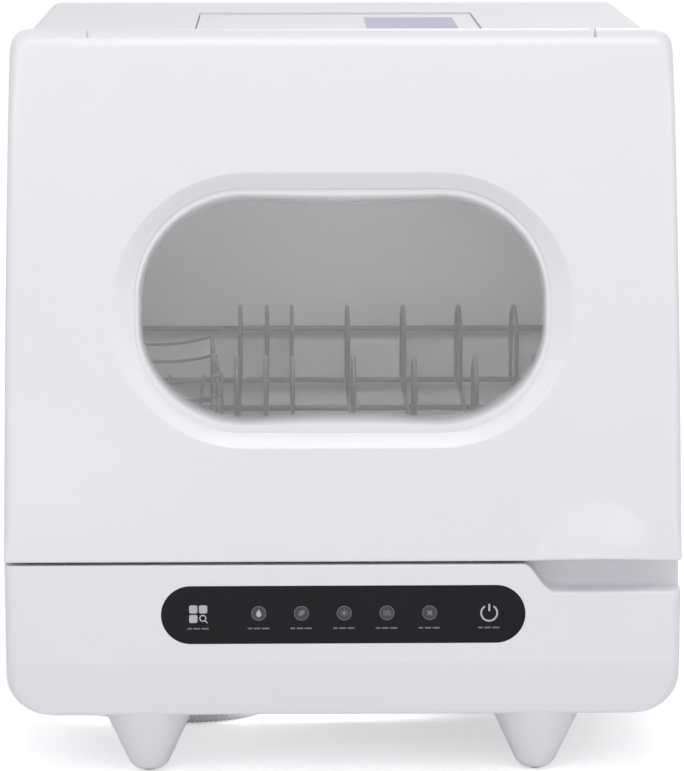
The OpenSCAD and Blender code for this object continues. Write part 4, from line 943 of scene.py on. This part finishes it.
def buildBase(material):
    top, t, shelf = body["seamZ"], base["topRound"], base["shelf"]
    deep, floorZ, e = base["recessDepth"], base["recessFloor"], base["recessRound"]
    crease, r, h = base["creaseZ"], base["lowRound"], base["recessHollow"]
    low = base["underZ"] + r
    rows = [(top - shelf, deep, shelf), (top, deep, shelf)]
    rows += [(top - t + t * c, deep, t - t * s) for c, s in quarter(3)]
    rows += [(z, deep) for z in spaced(top - t - 0.001, floorZ + h, 0.0016)]
    rows += [(floorZ + h - h * s, deep - h + h * c) for c, s in quarter(4, 1)]
    rows += [(floorZ, deep * 0.5)]
    rows += [(floorZ - e + e * s, e - e * c) for c, s in quarter(6)[::-1]]
    rows += [(z,) for z in spaced(floorZ - e - 0.001, crease + 0.0012, 0.004) + [crease, crease - 0.0012]
             + spaced(crease - 0.003, low + 0.012, 0.0025) + spaced(low + 0.011, low, 0.0011)]
    rows += [(low - r * s, 0.0, r - r * c) for c, s in quarter(4, 1)]
    rings = [baseRing(*row) for row in rows]
    sx, sy = (half / max(p[axis] for p in rings[-1]) for axis, half in enumerate(base["opening"]))
    rings.append([Vector((p.x * sx, p.y * sy, base["underZ"])) for p in rings[-1]])
    rings.append([Vector((p.x, p.y, base["underZ"] + 0.003)) for p in rings[-1]])
    dress(loft("baseShell", rings, sharpDeg=50), material, "root", "white_shell", "base_shell")

    front = [p for p in rings[1] if p.y < body["frontY"] + 0.03]
    back, xr = body["frontY"] + base["deckDepth"], front[-1].x
    line = [(-xr, back)] + [(p.x, p.y) for p in front] + [(xr, back)]
    verts = [(x, y, z) for z in (top - 0.0003, top - shelf) for x, y in line]
    n = len(line)
    sides = [(k, (k + 1) % n, n + (k + 1) % n, n + k) for k in range(n)]
    caps = [tuple(range(n)), tuple(range(2 * n - 1, n - 1, -1))]
    deck = linkMesh("baseDeck", verts, caps + sides, smooth=False)
    dress(deck, material, "root", "white_shell")


def footProfile():
    # (radius, height) from the round tip, which runs into the cone without a step, up to the fillet
    z0, r0, rt = foot["tipZ"], foot["tipRadius"], foot["tipRound"]
    slope = (foot["rootRadius"] - r0) / (base["underZ"] - z0)
    tilt = degrees(atan(slope))
    middle = r0 + slope * rt * (1 - sin(radians(tilt))) - rt * cos(radians(tilt))
    pts = [(0.0, z0)] + arcPoints(middle, z0 + rt, rt, -90, -tilt, 8)
    for z in spaced(pts[-1][1], base["underZ"] - foot["fillet"], 0.004)[1:]:
        pts.append((r0 + slope * (z - z0), z))
    return pts, slope


def buildFootPads(material):
    # small soft discs the feet stand on
    verts, faces = [], []
    for sx, sy in ((-1, -1), (1, -1), (-1, 1), (1, 1)):
        faces += gridFaces(len(foot["pad"]), foot["padSides"], first=len(verts))
        for r, z in foot["pad"]:
            verts += [(x, y, z) for x, y in circlePoints(sx * foot["x"], sy * foot["y"], r, foot["padSides"])]
    pads = cleanMesh(linkMesh("footPads", verts, faces), sharpDeg=40)
    dress(pads, material, "root", "rubber_dark", "foot_pads")


def buildFoot(sx, sy, material):
    pts, slope = footProfile()
    topR, topZ = pts[-1]
    under, flare = base["underZ"], foot["flare"]
    rows = [(r, z, 0.0) for r, z in pts]
    for c, s in quarter(6, 1):                       # hollow fillet into the underside
        rise = (under + 0.0004 - topZ) * s
        rows.append((topR + slope * rise, topZ + rise, flare * (1 - c)))
    rows.append((topR + slope * foot["fillet"], under + 0.0035, flare * 0.3))
    rings = []
    for r, z, wide in rows:
        ring = []
        for k in range(foot["sides"]):
            a = tau * k / foot["sides"]
            rr = r + wide * (1 - max(0.0, sin(a) * sy) ** 2)     # no flare where it is flush with the wall
            ring.append(Vector((sx * foot["x"] + rr * cos(a), sy * foot["y"] + rr * sin(a), z)))
        rings.append(ring)
    name = "foot" + ("Left" if sx < 0 else "Right") + ("Front" if sy < 0 else "Rear")
    dress(loft(name, rings, sharpDeg=70), material, "root", "white_shell")


buildBase(baseWhiteShaded)
buildFootPads(footRubber)
for sx in (-1, 1):
    for sy in (-1, 1):
        buildFoot(sx, sy, baseWhiteShaded)
print("base built")

# ---- window ----

pane = {
    "grow": 0.009,       # the pane reaches this much past the opening, in width and height
    "rings": 28,
    "around": 180,
    "inward": 0.75,      # share of the rings that keep the window's outline
    "inset": 0.02,       # of the last of those rings
}


def paneLine(share):
    # one ring of (x, t), from the pane's edge at 0 to its middle at 1
    w, h, r = window["glass"]
    outer = (w + pane["grow"], h + pane["grow"], r + pane["grow"] / 2)
    inner = (w - 2 * pane["inset"], h - 2 * pane["inset"], r - pane["inset"])
    line = []
    for j in range(pane["around"]):
        dx, dt = onCircle(0, 0, 1, 360 * j / pane["around"])
        far, near = outlineReach(dx, dt, outer), outlineReach(dx, dt, inner)
        if share < pane["inward"]:
            d = far + (near - far) * share / pane["inward"]
        else:
            d = near * (1 - (share - pane["inward"]) / (1 - pane["inward"]))
        line.append((dx * d, dt * d))
    return line


def buildPane(material):
    count, n = pane["rings"], pane["around"]
    lines = [paneLine(k / count) for k in range(count)]
    depths = (window["depth"], window["depth"] + window["glassThick"])
    verts = [onFace(x, t, depth) for depth in depths for line in lines for x, t in line]
    back = count * n
    faces = gridFaces(count, n) + [f[::-1] for f in gridFaces(count, n, first=back)]
    faces += [(k, back + k, back + (k + 1) % n, (k + 1) % n) for k in range(n)]
    for depth, first in zip(depths, (0, back)):
        last = first + back - n
        fan = [(last + k, last + (k + 1) % n, len(verts)) for k in range(n)]
        faces += [f[::-1] for f in fan] if first else fan
        verts.append(onFace(0, 0, depth))
    glazing = cleanMesh(linkMesh("windowPane", verts, faces), sharpDeg=50)
    fade = glazing.data.attributes.new("printFade", "FLOAT", "POINT")
    fade.data.foreach_set("value", [fadeAt(v.co) for v in glazing.data.vertices])
    dress(glazing, material, "door", "glass", "window_glass")


def fadeAt(p):
    # the printed border is narrow at the ends, wider along the top and widest along the lower edge
    t = faceT(p.z, hypot(faceY - p.y, p.z - faceZ))
    far = hypot(p.x, t) or 1e-9
    gap = outlineReach(p.x / far, t / far, window["glass"]) - far
    high = t / (window["glass"][1] / 2)
    more = glass["borderTop" if high > 0 else "borderLow"]
    width = glass["border"] + more * min(1.0, abs(high)) ** 2
    return min(1.3, max(0.0, glass["fadeGain"] * (1 - gap / width)))


buildPane(printedGlass())
print("window built")

# ---- dish rack and cutlery basket ----

rack = {
    "side": 0.1611,
    "front": 0.053,      # depths are from the front of the base
    "back": 0.323,
    "cross": (0.110, 0.218),
    "z": 0.198,
    "longZ": 0.2007,
    "frontRim": 0.210,
    "backRim": 0.235,
    "slopeEnd": 0.213,
    "tines": (-0.0665, -0.048, -0.0307, 0.008, 0.0467, 0.0854, 0.1241),
    "underBasket": (-0.141, -0.117, -0.093),   # long wires without tines
    "tineTop": 0.257,
    "rows": ((0.062, 0.110), (0.259, 0.321)),
    "thick": 0.0020,     # wire radii
    "thin": 0.0014,
    "bend": 0.007,
    "tineBend": 0.009,
    "tineShoulder": 0.010,     # drop from the top of a tine to its bends
    "tineFlat": 0.006,
    "postInset": (0.012, 0.004),     # of the posts that carry the rim, at the front and the back
    "postOver": 0.0015,
}

basket = {
    "x": (-0.154, -0.0755),
    "splay": 0.0095,     # how much closer its inner side stands at the back
    "front": 0.070,
    "length": 0.145,
    "z": (0.2040, 0.2478),
    "wire": 0.0011,
    "floorWire": 0.00088,
    "droop": 0.0038,
    "levels": (0.0, 0.36, 0.7, 1.0),     # heights of its rings as shares
    "floorGaps": (8, 6),       # between its long and its cross wires
}

wireSides = 10


def wirePiece(name, wires, material, bodyName, replaced):
    verts, faces = [], []
    for path, radius in wires:
        rings = tubeRings(path, lambda i: radius, wireSides)
        first, last = len(verts), len(verts) + (len(rings) - 1) * wireSides
        faces += gridFaces(len(rings), wireSides, first=first)
        faces += [tuple(range(first + wireSides - 1, first - 1, -1)), tuple(range(last, last + wireSides))]
        verts += [p for ring in rings for p in ring]
    dress(linkMesh(name, verts, faces), material, bodyName, "rack_wire", replaced)


def atDepth(x, depth, z):
    return (x, body["frontY"] + depth, z)


def rackRing(*stations):
    # a closed wire through (depth, z) stations along one side, mirrored to the other
    side = [atDepth(rack["side"], d, z) for d, z in stations]
    start = (0, *side[0][1:])
    return roundCorners([start] + side + [(-x, y, z) for x, y, z in side[::-1]] + [start], rack["bend"])


def buildRack(material):
    s, f, b, z = rack["side"], rack["front"], rack["back"], rack["z"]
    thick, thin, floorZ = rack["thick"], rack["thin"], rack["longZ"]
    front, high = rack["frontRim"], rack["backRim"]
    inFront, inBack = rack["postInset"]
    wires = [(rackRing((f, z), (b, z)), thick),
             (rackRing((f, front), (rack["slopeEnd"], high), (b, high)), thick)]
    wires += [([atDepth(-s, d, z), atDepth(s, d, z)], thick) for d in rack["cross"]]
    for x in (-s, s):
        for d, top in ((f + inFront, front + rack["postOver"]), (b - inBack, high)):
            wires.append(([atDepth(x, d, z), atDepth(x, d, top)], thick))
    for x in rack["tines"] + rack["underBasket"]:
        wires.append(([atDepth(x, f, floorZ), atDepth(x, b, floorZ)], thin))
    top, flat = rack["tineTop"] - thin, rack["tineFlat"]
    bendZ = top - rack["tineShoulder"]
    for x in rack["tines"]:
        for d0, d1 in rack["rows"]:
            mid = (d0 + d1) / 2
            stations = ((d0, floorZ), (d0, bendZ), (mid - flat, top),
                        (mid + flat, top), (d1, bendZ), (d1, floorZ))
            wires.append((roundCorners([atDepth(x, d, h) for d, h in stations], rack["tineBend"]), thin))
    wirePiece("rackWires", wires, material, "rack", "dish_rack")


def buildBasket(material):
    x0, x1 = basket["x"]
    z0, z1 = basket["z"]
    f, b = basket["front"], basket["front"] + basket["length"]
    r, fine = basket["wire"], basket["floorWire"]
    wires = []

    def innerAt(d):
        return x1 - basket["splay"] * (d - f) / (b - f)

    corners = [(x0, f), (x1, f), (innerAt(b), b), (x0, b)]
    for share in basket["levels"]:
        z = z0 + (z1 - z0) * share
        droop = basket["droop"] * (0.4 + share) if share else 0.0
        pts = []
        for (xa, da), (xb, db) in zip(corners, corners[1:] + corners[:1]):
            for k in range(12):
                t = k / 12
                sag = droop * 4 * t * (1 - t) * (1.0 if da == db else 0.5)
                pts.append(atDepth(xa + (xb - xa) * t, da + (db - da) * t, z - sag))
        wires.append((pts + [pts[0]], r))
    for d in (f, (f + b) / 2, b):
        wires += [([atDepth(x, d, z0), atDepth(x, d, z1)], r) for x in (x0, innerAt(d))]
    long, cross = basket["floorGaps"]
    for i in range(1, long):
        share = i / long
        ends = [atDepth(x0 + share * (side - x0), d, z0) for side, d in ((x1, f), (innerAt(b), b))]
        wires.append((ends, fine))
    for i in range(1, cross):
        d = f + i * (b - f) / cross
        wires.append(([atDepth(x0, d, z0), atDepth(innerAt(d), d, z0)], fine))
    wirePiece("basketWires", wires, material, "basket", "cutlery_basket")


rackWire = coatedWire()
buildRack(rackWire)
buildBasket(rackWire)
print("rack and basket built")

# ---- control panel ----

panel = {
    "size": (0.2266, 0.0374),
    "z": 0.1091,
    "front": -0.2052,
    "back": -0.2026,
    "edge": 0.0012,
    "keys": (-0.0525, -0.026, 0.0005, 0.027, 0.0535),
    "keyRadius": 0.0046,
    "keyZ": 0.1101,
    "sign": 0.0021,      # half size of the sign on a key
    "dashDrop": 0.0096,  # from a key's middle down to the dashes under it
    "dashes": ((-0.0068, -0.0040), (-0.0030, 0.0010), (0.0020, 0.0064)),
    "grid": (-0.0900, 0.1098, 0.0061),     # place and pitch of the four small signs
    "square": 0.0051,
    "squareCorner": 0.0010,
    "search": (0.0022, 0.0015),     # the magnifier's ring
    "rim": 0.00035,      # width of the ring around a key
    "dashHalf": 0.00045,
    "powerHalf": 0.00055,
    "power": (0.0905, 0.1098, 0.0050),
    "inkThick": 0.0003,
}


def flatInlay(name, ink, outline, hole=None, lift=0.00006):
    # a thin printed shape on the panel's face; outline points are (x, z)
    y = panel["front"] - lift
    back = y + panel["inkThick"]
    rows = ((outline, y), (outline, back))
    if hole:
        rows = ((outline, back), (outline, y), (hole, y), (hole, back), (outline, back))
    rings = [[Vector((x, depth, z)) for x, z in ring] for ring, depth in rows]
    dress(loft(name, rings, capEnds=hole is None, sharpDeg=30), ink, "root", "black_gloss")


def keyMark(i):
    # a small generic sign for each key: drop, leaf, sun, wave, star
    r = panel["sign"]
    if i == 0:
        half = [(0.55, 0.35), (0.8, -0.3), (0.5, -0.95)]
        outline = [(0.0, 1.25)] + half + [(0.0, -1.15)] + [(-x, z) for x, z in half[::-1]]
    elif i == 1:
        outline = [(-1, -0.8), (-0.7, 0.4), (0.1, 1.0), (1, 1.0), (0.9, 0.0), (0.2, -0.7)]
    elif i == 2:
        rays = [[onCircle(0, 0, r * d, 45 * k) for d in (0.85, 1.3)] for k in range(8)]
        return [circlePoints(0, 0, r * 0.6, 16)] + [strokeShape(ray, 0.0002) for ray in rays]
    elif i == 3:
        wave = [(0.2 * r * (k - 6), 0.0005 * sin(tau * k / 6)) for k in range(13)]
        return [strokeShape(shifted(wave, 0.0, dz), 0.00022) for dz in (-0.0012, 0.0, 0.0012)]
    else:
        outline = [onCircle(0, 0, 1.25 if k % 2 else 0.5, 45 * k) for k in range(8)]
    return [[(r * x, r * z) for x, z in outline]]


def buildPlate(black):
    (w, h), e = panel["size"], panel["edge"]
    rows = [(0.0, panel["back"])]
    rows += [(e * (1 - c), panel["front"] + e * 0.35 * (1 - s)) for c, s in quarter(4)]
    rings = []
    for inset, y in rows:
        outline = roundRect(w - 2 * inset, h - 2 * inset, h / 2 - inset - 0.00001, 24)
        rings.append([Vector((x, y, z + panel["z"])) for x, z in outline])
    dress(loft("panelPlate", rings, capEnds=True, sharpDeg=60), black, "root", "black_gloss", "control_panel")


def buildInlays(bright, mid, dim):
    gx, gz, pitch = panel["grid"]
    square = roundRect(panel["square"], panel["square"], panel["squareCorner"], 4)
    for i, (sx, sz) in enumerate(((0, 1), (1, 1), (0, 0))):
        place = gx + (sx - 0.5) * pitch, gz + (sz - 0.5) * pitch
        flatInlay("programSquare%d" % i, bright, shifted(square, *place))
    x, z = gx + 0.5 * pitch, gz - 0.5 * pitch        # a magnifier stands in the fourth place
    flatInlay("searchRing", bright, *(circlePoints(x - 0.0002, z + 0.0004, r) for r in panel["search"]))
    flatInlay("searchStem", bright, strokeShape([(x + 0.0012, z - 0.0011), (x + 0.0026, z - 0.0026)], 0.0004))
    r, z = panel["keyRadius"], panel["keyZ"]
    for i, x in enumerate(panel["keys"]):
        outer, inner = circlePoints(x, z, r), circlePoints(x, z, r - panel["rim"])
        flatInlay("keyDisc%d" % i, dim, outer)
        flatInlay("keyRing%d" % i, mid, outer, inner, lift=0.0001)
        for j, shape in enumerate(keyMark(i)):
            flatInlay("keyMark%d_%d" % (i, j), mid if i else bright, shifted(shape, x, z), lift=0.00013)
    for i, x in enumerate((gx,) + panel["keys"] + (panel["power"][0],)):
        for j, ends in enumerate(panel["dashes"]):
            dash = [(x + end, z - panel["dashDrop"]) for end in ends]
            flatInlay("keyDash%d_%d" % (i, j), mid, strokeShape(dash, panel["dashHalf"]))
    x, z, r = panel["power"]
    arc = [onCircle(x, z, r, a) for a in range(122, 419, 8)]
    flatInlay("powerArc", bright, strokeShape(arc, panel["powerHalf"]))
    flatInlay("powerBar", bright, strokeShape([(x, z + 0.0012), (x, z + 0.0058)], panel["powerHalf"]))


buildPlate(glossBlack())
buildInlays(printedInk("iconGrey", (0.42, 0.42, 0.44), (0.5, 0.5, 0.52)),
            printedInk("iconMid", (0.15, 0.15, 0.16), (0.2, 0.2, 0.21)),
            printedInk("iconDim", (0.034, 0.034, 0.038), (0.046, 0.046, 0.05)))
print("control panel built")

# ---- the pieces seen through the glass, from behind and with the door up ----


def finishNodes(bySlot, byNode):
    slotOf = {part["node"]: part["material_slot"] for part in frame["record"]["subparts"]}
    for name, obj in nodes.items():
        if obj.type == "MESH":
            obj.data.materials.clear()
            obj.data.materials.append(byNode.get(name) or bySlot[slotOf[name]])


darkPlastic = mouldedPlastic("darkPlastic", (0.035, 0.035, 0.038), (0.055, 0.055, 0.058), rough=0.42,
                             wearTo=(0.12, 0.12, 0.125))
rubberDark = mouldedPlastic("rubberDark", (0.03, 0.03, 0.032), (0.05, 0.05, 0.052), rough=0.62,
                            peelScale=420.0, wearTo=(0.12, 0.12, 0.12))
tankClear = seeThrough("tankClear", (0.74, 0.77, 0.79), (0.8, 0.82, 0.84), 0.55, 0.3)
# a lighter copy of the shell's white for the top casing and the fill lid: painted light on the top
casingWhiteLit = mouldedPlastic("casingWhiteLit", (0.81, 0.805, 0.83), (0.825, 0.82, 0.845), rough=0.5, dust=0.04,
                             specular=0.2)

finishNodes({
    "white_shell": shellWhite,
    "inner_white": linerWhite,
    "black_gloss": rubberDark,
    "rubber_dark": rubberDark,
    "dark_plastic": darkPlastic,
    "tub_grey": mouldedPlastic("tubGrey", (0.60, 0.60, 0.605), (0.63, 0.63, 0.635), rough=0.45, dust=0.0),
    "arm_grey": mouldedPlastic("armGrey", (0.52, 0.52, 0.53), (0.56, 0.56, 0.57), rough=0.36, dust=0.05),
    "gasket_grey": mouldedPlastic("gasketGrey", (0.2, 0.2, 0.205), (0.24, 0.24, 0.245), rough=0.6,
                                  peelScale=500.0),
    "label_tint": mouldedPlastic("labelTint", (0.44, 0.42, 0.53), (0.70, 0.68, 0.79), rough=0.6, dust=0.03,
                                 specular=0.1),
    "hose_grey": hoseGreyLit,
    "inner_hose": seeThrough("innerHose", (0.6, 0.6, 0.59), (0.68, 0.68, 0.66), 0.7, 0.4),
    "glass": tankClear,
    "tank_clear": tankClear,
    "steel_sheet": steelBrushed,
    "screw_steel": brushedMetal("screwSteel", (0.62, 0.62, 0.64), (0.4, 0.4, 0.41), rough=0.28,
                                along=300.0, across=900.0),
    "motor_steel": brushedMetal("motorSteel", (0.5, 0.5, 0.52), (0.34, 0.34, 0.35), rough=0.4,
                                along=40.0, across=260.0),
    "heater_tube": heaterMetal(),
    "rack_wire": rackWire,
    "circuit_board": boardMaterial(),
    "loom_sleeve": sleeveMaterial(),
    "lamp_lens": lampMaterial(),
}, {"casing": casingWhiteLit, "fill_lid": casingWhiteLit})
print("every node has its finish")

# ---- floor, backdrop and lights ----

studio = {
    "floorColour": (0.93, 0.93, 0.93),
    "floorGlow": 0.45,
    "floorHalf": 6.0,
    "world": 0.54,
}

lights = {               # place, aim, width, height, power
    "keyLight": ((-1.3, -2.2, 1.9), (0, 0, 0.25), 1.5, 1.5, 11.5),
    "fillLight": ((1.6, -1.9, 1.1), (0, 0, 0.25), 1.6, 1.6, 6.5),
    "topLight": ((0.1, -1.1, 2.2), (0, 0, 0.3), 1.4, 1.4, 13),
    "lowLight": ((-0.4, -1.7, 0.12), (-0.06, 0.15, 0.02), 0.4, 0.4, 0.8),
    "underLight": ((-0.05, -0.07, 0.034), (-0.06, 0.3, 0.02), 0.24, 0.02, 0.09),   # on the hose, out of sight
    "backLight": ((0.6, 2.0, 1.6), (0, 0, 0.3), 1.4, 1.4, 5),
}


def addWorld():
    world = bpy.data.worlds.new("studioWorld")
    bpy.context.scene.world = world
    world.use_nodes = True
    tree = world.node_tree
    tree.nodes.clear()
    soft = put(tree, "ShaderNodeBackground", {"Color": (0.97, 0.97, 1.0, 1.0), "Strength": studio["world"]})
    seen = put(tree, "ShaderNodeBackground", {"Color": (1.0, 1.0, 1.0, 1.0), "Strength": 1.0})
    ray = put(tree, "ShaderNodeLightPath").outputs
    direct = mathNode(tree, "MAXIMUM", ray["Is Camera Ray"], ray["Is Transmission Ray"])
    white = mathNode(tree, "MAXIMUM", direct, ray["Is Glossy Ray"])
    mix = put(tree, "ShaderNodeMixShader", {0: white, 1: soft.outputs[0], 2: seen.outputs[0]})
    put(tree, "ShaderNodeOutputWorld", {"Surface": mix.outputs[0]})


def addFloor():
    s = studio["floorHalf"]
    floor = linkMesh("studioFloor", [(-s, -s, 0), (s, -s, 0), (s, s, 0), (-s, s, 0)], [(0, 1, 2, 3)])
    mat, tree, shader = newMaterial("paleFloor")
    noise = put(tree, "ShaderNodeTexNoise", {"Scale": 3.0, "Detail": 2.0}).outputs["Fac"]
    seen = put(tree, "ShaderNodeLightPath").outputs["Is Camera Ray"]
    wire(tree, shader, {"Base Color": blendColour(tree, noise, studio["floorColour"], (0.95, 0.95, 0.95)),
                        "Roughness": 0.7, "Emission Color": (1.0, 1.0, 1.0, 1.0),
                        "Emission Strength": mathNode(tree, "MULTIPLY", seen, studio["floorGlow"])})
    floor.data.materials.append(mat)


def addLights():
    for name, (place, aim, wide, high, power) in lights.items():
        data = bpy.data.lights.new(name, "AREA")
        data.shape = "ELLIPSE"
        data.size, data.size_y = wide, high
        data.energy = power
        lamp = bpy.data.objects.new(name, data)
        bpy.context.collection.objects.link(lamp)
        lamp.location = place
        lamp.visible_camera = name != "underLight"
        lamp.rotation_euler = (Vector(aim) - Vector(place)).to_track_quat("-Z", "Y").to_euler()


bpy.context.scene.view_settings.view_transform = "Standard"
addWorld()
addFloor()
addLights()
print("studio set")
